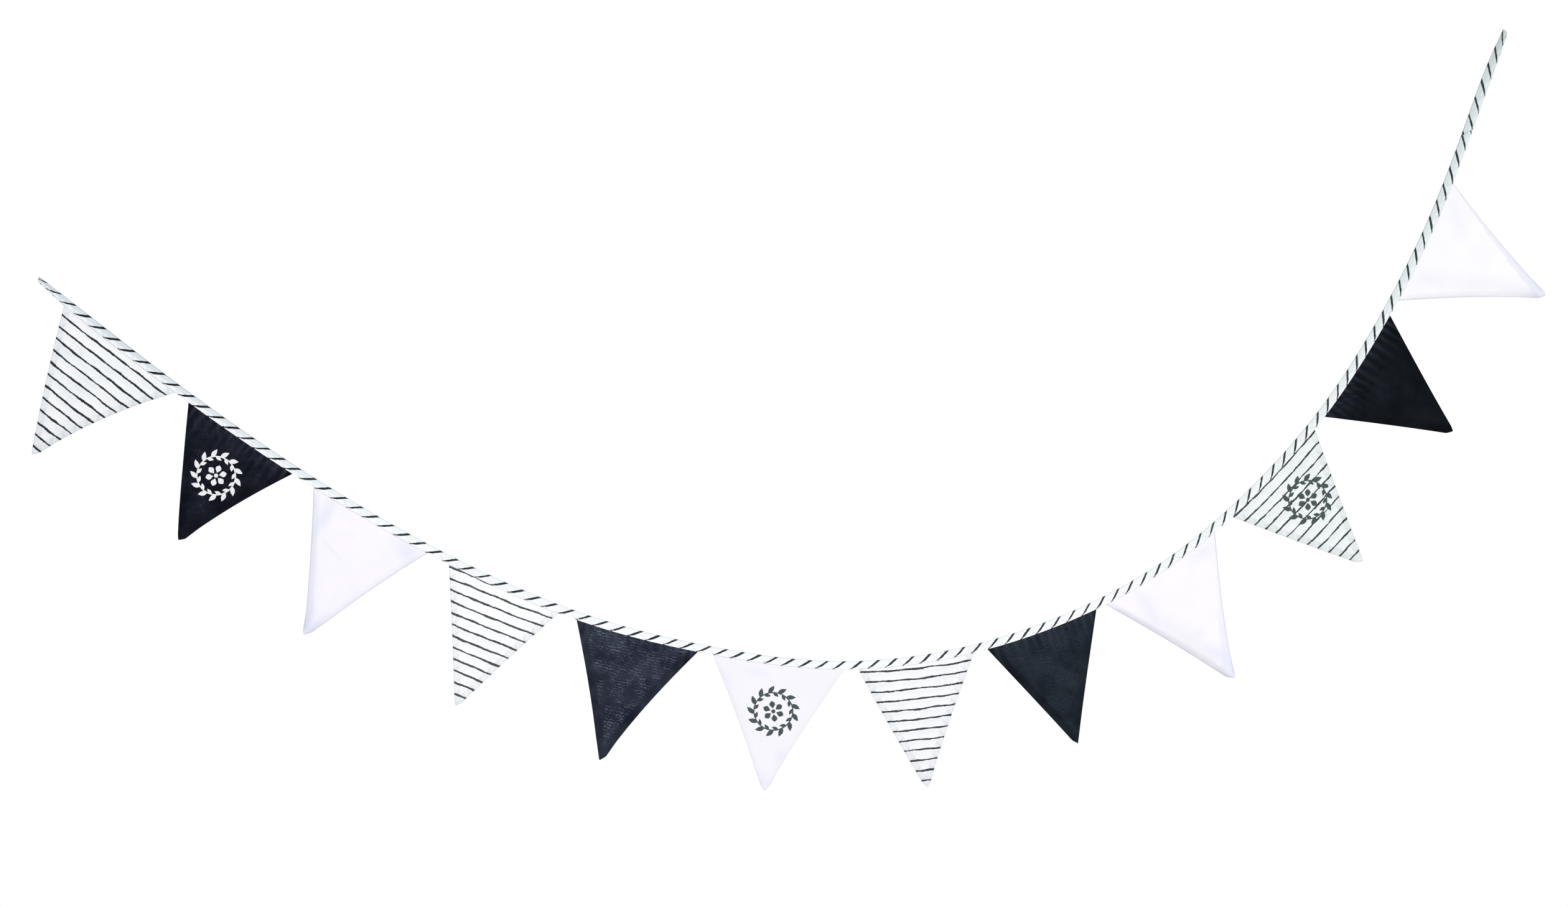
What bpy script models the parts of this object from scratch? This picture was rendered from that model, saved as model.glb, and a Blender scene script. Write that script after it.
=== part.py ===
"""Fabric bunting: twelve triangular pennants hanging from a folded bias tape in one long swag.

Each pennant is a doubled piece of cotton, seamed on its two long sides and turned, so it is
one sheet with rolled edges. Its top edge goes up between the two leaves of the tape, which is
a strip of bias-cut cotton folded over it. A short length of tape is joined on at the high end.

Units are metres and +Z is up. The front faces -Y, the low end is at -X, and the origin is
the crease of the tape at its high end, where a hook or a nail holds it.
"""
import math
from collections import namedtuple

import bpy
import numpy as np

MM = 0.001

# Cloth
PENNANT_THICK = 1.4 * MM     # two layers of cotton with the turned seam between them
LEAF_THICK = 1.0 * MM        # one leaf of the folded tape with its turned-in edge
CLEARANCE = 0.3 * MM         # from a pennant to each leaf, and between the two tapes
LEAVES_APART = 0.4 * MM      # between the two leaves where they hold no pennant
TOP_TURN = 8.0 * MM          # how far a pennant's top edge reaches up into the tape
COTTON_ROUGHNESS = 0.85
SHARP_EDGE = math.radians(40)   # an edge that bends more than this is shaded sharp

# Fold of the tape
FOLD_DEPTH = 1.6 * MM        # from the crease to the inside of the fold
SHOULDER = 1.2 * MM          # from the crease to where a leaf becomes flat
CREASE_ROUND = 0.24 * MM     # from the crease to the round between it and the shoulder
ROUND_SHARE = 0.55           # depth of that round against the shoulder's
SLOT_RUN_OUT = 6.0 * MM      # length over which the leaves close beside a pennant
SLOT_MARGIN = 1.0 * MM       # open slot left beside a pennant

# Lie of the tape
DEPTH_WAVE = 2.0 * MM        # the tape wanders this far to the front and back
WAVE_LENGTH = 640.0 * MM
WAVE_FADE = 200.0 * MM
FLAT_AT_LOW_END = 190.0 * MM    # beside each end the tape keeps to one plane
FLAT_AT_HIGH_END = 260.0 * MM
JOIN_FROM_HIGH_END = 165.0 * MM    # length of the tape that is joined on
CUT_FADE = 45.0 * MM         # a slanting cut's stations turn square over this length

# Pennants
ROLL_BAND = 13.0 * MM        # width of the rolled edge along each seamed side
BAND_SHARE = 0.35            # most of a narrow row that one rolled edge may take
ROLL_START = 26.0 * MM       # the roll grows over this length below the tape
BILLOW_POWER = 0.8           # below 1, the cloth fills out soon below the tape
TIP_TURN = 0.8               # share of the drop below which the tip bends aside
TIP_ROUND = 0.965            # share of the drop below which the tip rounds off
TIP_END_WIDTH = 0.4          # width of the last row against the blunt tip's own

# Mesh steps
ROUTE_STEP = 2.0 * MM
STATIONS_PER_PENNANT = 9
TURN_STEP = 8.0 * MM
BARE_STEP = 24.0 * MM
SHARES_DOWN = (0.0, 0.035, 0.09, 0.17, 0.27, 0.38, 0.49, 0.6, 0.7, 0.79, 0.87, 0.93, 0.965, 1.0)
ROLL_COLUMNS = (0.0, 0.22, 0.55, 1.0)   # shares of the rolled band, from the side inwards
MIDDLE_COLUMNS = 5
TURNED_COLUMNS = 18      # in a pennant under the turned stretch of the tape

# The crease of the tape, seen from the front, from the low end to the high end (mm).
RoutePoint = namedtuple("RoutePoint", "x z width")
ROUTE = [
    RoutePoint(-2118, -358, 12.3),
    RoutePoint(-2057, -405, 12.3),
    RoutePoint(-1949, -489, 12.4),
    RoutePoint(-1787, -605, 12.4),
    RoutePoint(-1625, -706, 12.2),
    RoutePoint(-1463, -791, 12.0),
    RoutePoint(-1301, -855, 11.8),
    RoutePoint(-1139, -894, 11.5),
    RoutePoint(-977, -914, 11.4),
    RoutePoint(-815, -901, 11.5),
    RoutePoint(-653, -854, 11.8),
    RoutePoint(-491, -769, 12.0),
    RoutePoint(-362, -660, 12.1),
    RoutePoint(-267, -552, 12.2),
    RoutePoint(-175, -408, 12.5),
    RoutePoint(-104, -264, 12.9),
    RoutePoint(-49, -120, 13.2),
    RoutePoint(-22, -48, 13.2),
    RoutePoint(0, 0, 13.2),
]

# Each bare end of the tape turns about its crease, nearly edge on at the cut, and its lower
# edge comes to the front. angle: at the cut; length: how far in the turn reaches (mm);
# power: above 1, most of the turn is near the cut.
EndTurn = namedtuple("EndTurn", "angle length power")
LOW_TURN = EndTurn(math.radians(68), 125, 1.25)
HIGH_TURN = EndTurn(math.radians(66), 105, 1.35)

# A cut runs on a slant from the crease to the lower edge. slant: how far along the tape the
# lower edge lies from the crease on the front leaf, plus to the high end (mm); mirrored: the
# back leaf slants the other way, as a seam across the flat strip does once it is folded.
Cut = namedtuple("Cut", "from_low_end slant mirrored")

# start: place of the low corner along the crease; base: width at the tape; drop: depth of the
# triangle; shift: how far the tip lies to the high side of the middle; bow: how far each side
# is drawn in halfway down (minus is out); hook: how far the last fifth of the tip bends aside;
# tip: its blunt width; billow: how far the middle stands out to the front; roll: how far each
# seamed side curls back; lean: how far the tip hangs back; twist: how far the high side
# comes forward of the low side. All in mm.
Pennant = namedtuple("Pennant", "cloth start base drop shift bow_low bow_high hook tip "
                                "billow roll_low roll_high lean twist")
PENNANTS = [
    Pennant("striped", 55, 203, 198, -4, -2.5, 9.5, 0, 6, 4.5, 1.6, 1.4, 3.0, 2.0),
    Pennant("navy", 282, 182, 172, 10, -0.5, 4.5, 1, 7, 3.0, 1.2, 2.0, 5.0, -3.0),
    Pennant("white", 500, 189, 191, 3, 2.0, 3.5, -2, 7, 6.0, 4.0, 1.8, 2.0, 4.0),
    Pennant("striped", 724, 172, 182, 7, 1.0, 1.0, 0, 6, 3.5, 1.0, 1.6, 4.0, -2.0),
    Pennant("navy", 924, 180, 187, -5, 3.0, 5.0, 1, 6, 5.0, 2.4, 2.8, -5.0, 5.0),
    Pennant("white", 1126, 189, 187, 0, 3.5, 2.5, 1, 7, 3.0, 1.6, 1.4, 2.5, -2.0),
    Pennant("striped", 1335, 167, 183, -8, -1.0, 2.5, 0, 6, 3.5, 1.2, 1.8, 3.5, 3.0),
    Pennant("navy", 1522, 166, 173, -9, 0.5, 0.5, 0, 7, 4.0, 1.8, 2.2, 5.5, -4.0),
    Pennant("white", 1703, 187, 191, 0, 3.0, 4.0, 1, 8, 6.5, 5.0, 3.0, 3.0, 3.5),
    Pennant("striped", 1923, 172, 181, -5, -0.5, 0.0, 0, 7, 3.5, 1.4, 1.2, 4.5, -2.5),
    Pennant("navy", 2118, 173, 167, -5, 1.0, 1.0, 0, 7, 3.0, 1.2, 1.0, 2.0, 2.5),
    Pennant("white", 2315, 187, 190, 3, 4.0, 3.5, 0, 8, 6.0, 2.6, 5.0, 4.0, -4.0),
]

PENNANT_COLOURS = {
    "striped": (0.86, 0.88, 0.89),
    "navy": (0.019, 0.022, 0.037),
    "white": (0.91, 0.90, 0.97),
}
TAPE_COLOUR = (0.83, 0.86, 0.87)


def smooth_step(value):
    """Rise from 0 to 1 with level ends."""
    value = np.clip(value, 0.0, 1.0)
    return value * value * (3.0 - 2.0 * value)


def spline_table(points, step):
    """Run a natural cubic spline through the points and read it every step of its length.

    The spline's second derivatives solve one linear system with a row for each inner point.
    Returns the lengths along the first two columns and the rows of values there.
    """
    knots = np.append(0.0, np.cumsum(np.hypot(*np.diff(points[:, :2], axis=0).T)))
    spans = np.diff(knots)
    slopes = np.diff(points, axis=0) / spans[:, None]
    matrix = np.eye(len(points))
    right = np.zeros_like(points)
    for i in range(1, len(points) - 1):
        matrix[i, i - 1:i + 2] = spans[i - 1], 2 * (spans[i - 1] + spans[i]), spans[i]
        right[i] = 6 * (slopes[i] - slopes[i - 1])
    bends = np.linalg.solve(matrix, right)

    at = np.linspace(0.0, knots[-1], 1 + int(knots[-1] / step))
    i = np.clip(np.searchsorted(knots, at, side="right") - 1, 0, len(spans) - 1)
    span, after, before = (a[:, None] for a in (spans[i], at - knots[i], knots[i + 1] - at))
    values = ((bends[i] * before ** 3 + bends[i + 1] * after ** 3) / (6 * span)
              + (points[i] / span - bends[i] * span / 6) * before
              + (points[i + 1] / span - bends[i + 1] * span / 6) * after)
    lengths = np.append(0.0, np.cumsum(np.hypot(*np.diff(values[:, :2], axis=0).T)))
    return lengths, values


CREASE_LENGTHS, CREASE = spline_table(np.array(ROUTE) * MM, ROUTE_STEP)
CREASE_SLOPES = np.gradient(CREASE[:, :2], CREASE_LENGTHS, axis=0)
TAPE_LENGTH = CREASE_LENGTHS[-1]
JOIN = TAPE_LENGTH - JOIN_FROM_HIGH_END
CUTS = [
    Cut(0.0, 4.5, False),
    Cut(JOIN, 14.0, True),
    Cut(TAPE_LENGTH, -3.0, False),
]


def along_crease(table, s):
    """Read a table of the crease at lengths from the low end."""
    return np.interp(s, CREASE_LENGTHS, table)


def tape_width(s):
    """The folded width, from the crease to the lower edges."""
    return along_crease(CREASE[:, 2], s)


def tape_depth(s):
    """The middle plane of the tape: a slow wave to the front and back, flat near the ends."""
    low = smooth_step((s - FLAT_AT_LOW_END) / WAVE_FADE)
    high = smooth_step((TAPE_LENGTH - FLAT_AT_HIGH_END - s) / WAVE_FADE)
    return DEPTH_WAVE * np.sin(2 * math.pi * s / WAVE_LENGTH) * low * high


def tape_turn(s):
    """How far the tape has turned about its crease: a power of what is left of each turn."""
    total = 0.0
    for turn, from_end in ((LOW_TURN, s), (HIGH_TURN, TAPE_LENGTH - s)):
        left = np.clip(1 - from_end / (turn.length * MM), 0.0, 1.0)
        total = total + turn.angle * left ** turn.power
    return total


def tape_point(s, down, back):
    """The place at a length along the crease, a way down from it and a way behind the middle."""
    turn = tape_turn(s)
    across = down * np.cos(turn) + back * np.sin(turn)
    depth = tape_depth(s) + back * np.cos(turn) - down * np.sin(turn)
    slope_x, slope_z = (along_crease(CREASE_SLOPES[:, i], s) for i in (0, 1))
    steepness = np.hypot(slope_x, slope_z)
    x = along_crease(CREASE[:, 0], s) + across * slope_z / steepness
    z = along_crease(CREASE[:, 1], s) - across * slope_x / steepness
    return np.stack([x, depth, z], axis=-1)


def half_slot(s):
    """Half the distance between the leaves: open around each pennant, nearly closed between."""
    opening = np.zeros_like(s)
    for pennant in PENNANTS:
        before = s - pennant.start * MM + SLOT_MARGIN + SLOT_RUN_OUT
        after = (pennant.start + pennant.base) * MM + SLOT_MARGIN + SLOT_RUN_OUT - s
        opening += smooth_step(before / SLOT_RUN_OUT) * smooth_step(after / SLOT_RUN_OUT)
    closed = LEAVES_APART / 2
    return closed + (PENNANT_THICK / 2 + CLEARANCE - closed) * opening


def cut_shift(s, down, back):
    """How far the points near a cut move along the tape, so that the cut runs on its slant."""
    below_fold = np.clip((down - FOLD_DEPTH) / (tape_width(s) - FOLD_DEPTH), 0.0, 1.0)
    shift = np.zeros_like(down)
    for cut in CUTS:
        near = np.clip(1 - np.abs(s - cut.from_low_end) / CUT_FADE, 0.0, 1.0)
        side = np.where(back > 0, -1.0, 1.0) if cut.mirrored else 1.0
        shift += cut.slant * MM * near * side * below_fold
    return shift


def tape_stations(first, last):
    """Lengths at which the tape has a section: close together where it turns or opens."""
    turned_from = TAPE_LENGTH - HIGH_TURN.length * MM
    low_turn = np.arange(0, LOW_TURN.length * MM, TURN_STEP)
    bare = np.arange(JOIN - CUT_FADE, turned_from, BARE_STEP)
    high_turn = np.arange(turned_from, TAPE_LENGTH, TURN_STEP)
    stations = [low_turn, bare, high_turn]
    for pennant in PENNANTS:
        low = pennant.start * MM - SLOT_MARGIN
        high = (pennant.start + pennant.base) * MM + SLOT_MARGIN
        stations.append(np.linspace(low, high, STATIONS_PER_PENNANT))
        stations.append(np.array([low - SLOT_RUN_OUT, high + SLOT_RUN_OUT]))
    stations = np.unique(np.concatenate(stations))
    apart = TURN_STEP / 4
    inside = stations[(stations > first + apart) & (stations < last - apart)]
    return np.concatenate([[first], inside, [last]])


def tape_mesh(first, last):
    """Carry the folded section of the tape along the crease, and close its two ends.

    The section is an upside-down U: up the front leaf, over the crease, down the back leaf
    and up again inside. Its two rows of numbers are the way down and the way back. Each face
    starts so that it splits from the crease at its low end to the edge at its high end, as a
    pennant's faces do, and the twisted leaves and the cloth between them bend alike.
    """
    stations = tape_stations(first, last)[:, None]
    width = tape_width(stations)
    inner = half_slot(stations)
    outer = inner + LEAF_THICK
    shoulder, fold, near = (size * np.ones_like(width) for size in (SHOULDER, FOLD_DEPTH, CREASE_ROUND))
    down = np.hstack([width, shoulder, near, 0 * near, near, shoulder, width,
                      width, fold, fold, width])
    back = np.hstack([-outer, -outer, -ROUND_SHARE * outer, 0 * outer, ROUND_SHARE * outer, outer, outer,
                      inner, inner, -inner, -inner])
    rows, columns = down.shape
    along = stations + cut_shift(stations, down, back)
    points = tape_point(along, down, back).reshape(-1, 3)

    faces = []
    for row in range(rows - 1):
        for column in range(columns):
            beside = (column + 1) % columns
            start, end = row * columns, (row + 1) * columns
            face = (start + column, end + column, end + beside, start + beside)
            goes_up = down[row, beside] < down[row, column]
            faces.append(face[1:] + face[:1] if goes_up else face)
    front_leaf, fold_over, back_leaf = (0, 1, 9, 10), (1, 2, 3, 4, 5, 8, 9), (5, 6, 7, 8)
    for ring in (front_leaf, fold_over, back_leaf):
        faces.append(ring)
        faces.append(tuple((rows - 1) * columns + i for i in reversed(ring)))
    return points, faces


def pennant_sides(pennant, share):
    """Where the two sides lie across the base at each share of the drop.

    Straight sides run from the corners to the blunt tip. A parabola draws each one in by its
    bow, the last fifth slides aside by the hook, and the tip narrows to a round end.
    """
    middle = (pennant.base / 2 + pennant.shift) * MM
    half_tip = pennant.tip / 2 * MM
    parabola = 4 * share * (1 - share)
    hook = pennant.hook * MM * smooth_step((share - TIP_TURN) / (1 - TIP_TURN))
    low = share * (middle - half_tip) + pennant.bow_low * MM * parabola + hook
    high = pennant.base * MM * (1 - share) + share * (middle + half_tip)
    high += hook - pennant.bow_high * MM * parabola
    centre = (low + high) / 2
    past_round = np.clip((share - TIP_ROUND) / (1 - TIP_ROUND), 0, 1)
    narrowing = 1 - (1 - TIP_END_WIDTH) * past_round ** 2
    return centre + (low - centre) * narrowing, centre + (high - centre) * narrowing


def pennant_depth(pennant, share, from_low, from_high):
    """How far behind the tape's middle plane the cloth lies.

    The middle billows to the front, each seamed side rolls back within its band, the tip
    leans and one side comes forward. All of it starts from nothing at the tape.
    """
    width = from_low + from_high
    across = from_low / width
    band = np.minimum(ROLL_BAND, BAND_SHARE * width)
    roll = (pennant.roll_low * MM * np.clip(1 - from_low / band, 0, 1) ** 2
            + pennant.roll_high * MM * np.clip(1 - from_high / band, 0, 1) ** 2)
    bulge = np.sin(math.pi * across) ** 2 * np.sin(math.pi * share) ** BILLOW_POWER
    lean = pennant.lean * MM * share ** 2
    twist = pennant.twist * MM * (0.5 - across) * np.sin(math.pi * share)
    rolled = roll * smooth_step(share * pennant.drop * MM / ROLL_START)
    return rolled + lean + twist - pennant.billow * MM * bulge


def pennant_mesh(pennant):
    """One grid of points: its first row is inside the tape and its last is the tip.

    Below the tape a point lies on the chord between the two corners, moved square to it by
    its share of the drop. What parts the chord from the tape's curve fades down the drop.
    """
    drop = pennant.drop * MM
    corners = (pennant.start + np.array([0.0, pennant.base])) * MM
    share = np.array(SHARES_DOWN)[:, None]
    low, high = pennant_sides(pennant, share)
    width = high - low
    band = np.minimum(ROLL_BAND, BAND_SHARE * width)
    rolled = np.array(ROLL_COLUMNS) * band
    strips = TURNED_COLUMNS if pennant.start < LOW_TURN.length else MIDDLE_COLUMNS
    middle = band + (width - 2 * band) * np.arange(1, strips) / strips
    from_low = np.hstack([rolled, middle, width - rolled[:, ::-1]])
    along = corners[0] + low + from_low

    inside = tape_point(along[:1], tape_width(along[:1]) - TOP_TURN, 0.0)
    on_edge = tape_point(along, tape_width(along), 0.0)
    first, last = tape_point(corners, tape_width(corners), 0.0)
    chord = (last - first) / math.dist(first[[0, 2]], last[[0, 2]])
    square = np.array([chord[2], 0.0, -chord[0]])
    on_chord = first + (along - corners[0])[..., None] * chord
    below = on_chord + (on_edge - on_chord) * ((1 - share) ** 2)[..., None]
    below += (share * drop)[..., None] * square
    below[..., 1] += pennant_depth(pennant, share, from_low, width - from_low)

    points = np.concatenate([inside, below])
    rows, columns = points.shape[:2]
    faces = []
    for row in range(rows - 1):
        for column in range(columns - 1):
            corner = row * columns + column
            faces.append((corner, corner + columns, corner + columns + 1, corner + 1))
    return points.reshape(-1, 3), faces


def cotton(name, colour):
    """Plain woven cotton: a matt cloth with no metal in it."""
    material = bpy.data.materials.new(name)
    material.use_nodes = True
    shader = material.node_tree.nodes["Principled BSDF"]
    shader.inputs["Base Color"].default_value = (*colour, 1.0)
    shader.inputs["Roughness"].default_value = COTTON_ROUGHNESS
    shader.inputs["Metallic"].default_value = 0.0
    return material


def add_cloth(name, points, faces, material):
    """Make one named object from a mesh whose points are already in their place."""
    mesh = bpy.data.meshes.new(name)
    mesh.from_pydata(points.tolist(), [], faces)
    mesh.materials.append(material)
    mesh.shade_smooth()
    mesh.set_sharp_from_angle(angle=SHARP_EDGE)
    cloth = bpy.data.objects.new(name, mesh)
    bpy.context.scene.collection.objects.link(cloth)
    return cloth


def add_tapes():
    """The long tape, and the short one that is joined on at its high end."""
    material = cotton("striped_bias_cotton", TAPE_COLOUR)
    half_gap = CLEARANCE * math.sqrt(2) / 2
    add_cloth("bias_tape", *tape_mesh(0.0, JOIN - half_gap), material)
    add_cloth("bias_tape_joined_end", *tape_mesh(JOIN + half_gap, TAPE_LENGTH), material)


def add_pennants():
    """The twelve pennants, each a sheet given the thickness of its two layers."""
    materials = {name: cotton(name + "_cotton", colour) for name, colour in PENNANT_COLOURS.items()}
    for number, pennant in enumerate(PENNANTS, 1):
        name = "pennant_{:02d}_{}".format(number, pennant.cloth)
        cloth = add_cloth(name, *pennant_mesh(pennant), materials[pennant.cloth])
        layers = cloth.modifiers.new("two_layers", "SOLIDIFY")
        layers.thickness = PENNANT_THICK
        layers.offset = 0.0
        layers.use_even_offset = True


for leftover in list(bpy.data.objects):
    bpy.data.objects.remove(leftover)
add_tapes()
add_pennants()
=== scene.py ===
"""Fabric bunting: twelve cotton pennants hanging from a folded bias tape in one long swag.

The tape is one thin strip of bias-cut cotton, folded over along its crease, with both raw
edges turned in. Each pennant is a doubled triangle, seamed on its two long sides and turned.
Every cloth is a middle surface on a grid, worked out as whole arrays, with half its thickness
laid to each side. Lengths in the tables are millimetres, and everything built is in metres.
The front faces -Y, and the origin is the crease of the tape at its high end.
"""
import math
from collections import namedtuple

import bpy
import numpy as np
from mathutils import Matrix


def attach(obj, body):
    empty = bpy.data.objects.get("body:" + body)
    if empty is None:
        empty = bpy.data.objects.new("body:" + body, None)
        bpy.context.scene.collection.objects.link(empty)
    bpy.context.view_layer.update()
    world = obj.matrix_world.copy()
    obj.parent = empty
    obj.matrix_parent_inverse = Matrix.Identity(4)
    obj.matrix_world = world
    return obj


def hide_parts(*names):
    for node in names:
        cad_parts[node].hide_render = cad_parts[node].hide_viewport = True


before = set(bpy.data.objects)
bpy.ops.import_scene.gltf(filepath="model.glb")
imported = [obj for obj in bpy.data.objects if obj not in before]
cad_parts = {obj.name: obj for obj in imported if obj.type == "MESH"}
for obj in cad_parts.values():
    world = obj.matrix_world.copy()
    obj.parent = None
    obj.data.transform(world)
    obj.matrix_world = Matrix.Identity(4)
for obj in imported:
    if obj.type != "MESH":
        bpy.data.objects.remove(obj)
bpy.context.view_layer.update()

MM = 0.001

# ---------------------------------------------------------------- the route and the pennants

# The crease of the tape, seen from the front, from the low end to the high end.
RoutePoint = namedtuple("RoutePoint", "x z width")
ROUTE = [
    RoutePoint(-2118, -358, 12.3),
    RoutePoint(-2057, -405, 12.3),
    RoutePoint(-1949, -489, 12.4),
    RoutePoint(-1787, -605, 12.4),
    RoutePoint(-1625, -706, 12.2),
    RoutePoint(-1463, -791, 12.0),
    RoutePoint(-1301, -855, 11.8),
    RoutePoint(-1139, -894, 11.5),
    RoutePoint(-977, -914, 11.4),
    RoutePoint(-815, -901, 11.5),
    RoutePoint(-653, -854, 11.8),
    RoutePoint(-491, -769, 12.0),
    RoutePoint(-362, -660, 12.1),
    RoutePoint(-267, -552, 12.2),
    RoutePoint(-175, -408, 12.5),
    RoutePoint(-104, -264, 12.9),
    RoutePoint(-49, -120, 13.2),
    RoutePoint(-22, -48, 13.2),
    RoutePoint(0, 0, 13.2),
]
ROUTE_STEP = 2.0 * MM

# Each bare end of the tape turns about its crease, nearly edge on at the cut.
EndTurn = namedtuple("EndTurn", "angle length power")
LOW_TURN = EndTurn(math.radians(68), 125, 1.25)
HIGH_TURN = EndTurn(math.radians(66), 105, 1.35)

# A cut's lower edge lies a slant further along than its crease, the other way on the back
# leaf where a seam was folded with the strip.
Cut = namedtuple("Cut", "from_low_end slant mirrored")

# start: low corner along the crease; shift: tip to the high side of the middle; bow: each side
# drawn in halfway down; hook: the tip's last fifth bent aside; tip: how blunt it is; billow,
# roll, lean and twist: how the cloth stands out of its plane, as in the solids; point: from -1
# to 1, the side of the tip that reaches furthest down.
Pennant = namedtuple("Pennant", "cloth start base drop shift bow_low bow_high hook tip "
                                "billow roll_low roll_high lean twist point")
PENNANTS = [
    Pennant("striped", 55, 203, 198, -4, -2.5, 9.5, 0, 6, 4.5, 1.6, 1.4, 3.0, 2.0, -0.6),
    Pennant("navy", 282, 182, 172, 10, -0.5, 4.5, 1, 7, 3.0, 1.2, 2.0, 5.0, -3.0, -0.6),
    Pennant("white", 500, 189, 191, 3, 2.0, 3.5, -2, 7, 6.0, 4.0, 1.8, 2.0, 4.0, -0.5),
    Pennant("striped", 724, 172, 182, 7, 1.0, 1.0, 0, 6, 3.5, 1.0, 1.6, 4.0, -2.0, -0.4),
    Pennant("navy", 924, 180, 187, -5, 3.0, 5.0, 1, 6, 5.0, 2.4, 2.8, -5.0, 5.0, -0.9),
    Pennant("white", 1126, 189, 187, 0, 3.5, 2.5, 1, 7, 3.0, 1.6, 1.4, 2.5, -2.0, 0.0),
    Pennant("striped", 1335, 167, 183, -8, -1.0, 2.5, 0, 6, 3.5, 1.2, 1.8, 3.5, 3.0, 0.1),
    Pennant("navy", 1522, 166, 173, -9, 0.5, 0.5, 0, 4, 4.0, 1.8, 2.2, 5.5, -4.0, 0.9),
    Pennant("white", 1703, 187, 191, 0, 3.0, 4.0, 1, 8, 6.5, 5.0, 3.0, 3.0, 3.5, 0.6),
    Pennant("striped", 1923, 172, 181, -5, -0.5, 0.0, 0, 7, 3.5, 1.4, 1.2, 4.5, -2.5, 0.8),
    Pennant("navy", 2118, 173, 167, -5, 1.0, 1.0, 0, 7, 3.0, 1.2, 1.0, 2.0, 2.5, 0.5),
    Pennant("white", 2315, 187, 190, 3, 4.0, 3.5, 0, 8, 6.0, 2.6, 5.0, 4.0, -4.0, 0.3),
]

# Fold of the tape
LEAF_THICK = 0.72 * MM       # one leaf with its turned-in edge
LEAVES_APART = 0.4 * MM      # where no pennant lies between them
SHOULDER = 1.2 * MM          # from the crease to where a leaf becomes flat
FOLD_DEPTH = 1.6 * MM        # a cut runs straight this far down, and then on its slant
SLOT_HALF = 0.7 * MM         # half the slot that holds a pennant's top edge
SLOT_RUN_OUT = 6.0 * MM      # the leaves close over this length past a pennant's corner
SLOT_MARGIN = 1.0 * MM
TOP_TURN = 8.0 * MM          # how far a pennant's top edge reaches up into the tape
TAPE_CLOTH = 0.34 * MM       # one layer of the tape's cotton
HEM_DEPTH = 5.5 * MM         # the turned-in edge of each leaf
HEM_BEND = 0.2 * MM          # radius of the turn at a leaf's lower edge
HEM_UNEVEN = 0.06            # how much of its depth a hem comes and goes
HEM_UNEVEN_LENGTH = 29.0 * MM
HEM_STEP = 0.25 * MM         # a leaf sinks this far above the end of its turned-in edge
HEM_STEP_RUN = 1.6 * MM
GROOVE = 0.12 * MM           # the stitching pulls a leaf in
GROOVE_WIDTH = 0.7 * MM
HEM_POINTS = 4               # points of the cloth's section over a hem
ROUND_POINTS = 7             # and over the turn at its edge, and each half of the crease
# Shares of a leaf from its lower edge to the crease, close together at the groove and the step.
LEAF_SHARES = np.array([0, .07, .12, .17, .24, .33, .4, .45, .5, .56, .64, .75, .88, 1])

# Lie of the tape
DEPTH_WAVE = 2.0 * MM        # it waves this far to the front and the back
WAVE_LENGTH = 640.0 * MM
WAVE_FADE = 200.0 * MM       # the wave begins over this length, past the flat ends
FLAT_AT_LOW_END = 190.0 * MM
FLAT_AT_HIGH_END = 260.0 * MM
JOIN_FROM_HIGH_END = 165.0 * MM
JOIN_GAP = 0.1 * MM
CUT_FADE = 45.0 * MM         # a cut's slant fades out over this length
STATION_STEP = 4.0 * MM      # from one row of the tape's points to the next
SEAM_STATIONS = np.array([0.4, 0.9, 1.6, 2.6]) * MM    # and to the rows beside the seam
SEAM_VALLEY = 0.3 * MM       # the cloth dips this far at the seam across the tape
SEAM_WIDTH = 1.0 * MM
# Small waves of the pressed cloth along the tape, in millimetres and turns of a sine.
Ripple = namedtuple("Ripple", "height length sway sway_length")
RIPPLES = [Ripple(0.13, 47, 1.3, 61), Ripple(0.07, 12.5, 2.1, 23)]

# Pennants
ROLL_BAND = 13.0 * MM        # each side rolls back over this width
BAND_SHARE = 0.35            # or over this share of the pennant's, where that is less
ROLL_START = 26.0 * MM       # the cloth takes its own shape over this way below the tape
ROLL_END = 18.0 * MM         # a tip narrower than this goes flat
BILLOW_POWER = 0.8
TIP_TURN = 0.8               # shares of the drop where a hook and a tip's round begin
TIP_ROUND = 0.955
TIP_END_WIDTH = 0.28         # what the round leaves of a tip's width
EDGE_THICK = 1.0 * MM        # two layers with the seam allowances between them
MIDDLE_THICK = 0.64 * MM     # two layers alone
EDGE_RADIUS = 0.45 * MM
RIM_THICK = 0.12 * MM        # what the round leaves of the thickness
ALLOWANCE = 9.5 * MM         # width of the seam allowance inside
ALLOWANCE_STEP = 1.8 * MM

# Stitching
STITCH_PITCH = 3.0 * MM
STITCH_LENGTH = 2.5 * MM
STITCH_THICK = 0.34 * MM
STITCH_UP = 1.4 * MM         # above a leaf's lower edge
STITCH_SINK = 0.05 * MM      # below the cloth's surface
STITCH_FROM_CUT = 7.0 * MM   # no stitch stands out past a slanting cut
STITCH_UNEVEN = 0.12 * MM    # along the row, and up and down
ROW_UNEVEN = 0.1 * MM
ROW_DRIFT = 0.25 * MM
ROW_DRIFT_LENGTH = 83.0 * MM


def smooth_step(value):
    """Rise from 0 to 1 with level ends."""
    value = np.clip(value, 0.0, 1.0)
    return value * value * (3.0 - 2.0 * value)


def hump(value):
    """A soft hump: 1 at 0, falling off as exp(-value squared)."""
    return np.exp(-value * value)


def swaying_wave(x, length, sway, sway_length, phase=0.0, slide=0.0):
    """A sine of this length whose phase sways to and fro as a longer sine."""
    return np.sin(2 * math.pi * x / length + phase + sway * np.sin(x / sway_length + slide))


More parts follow.
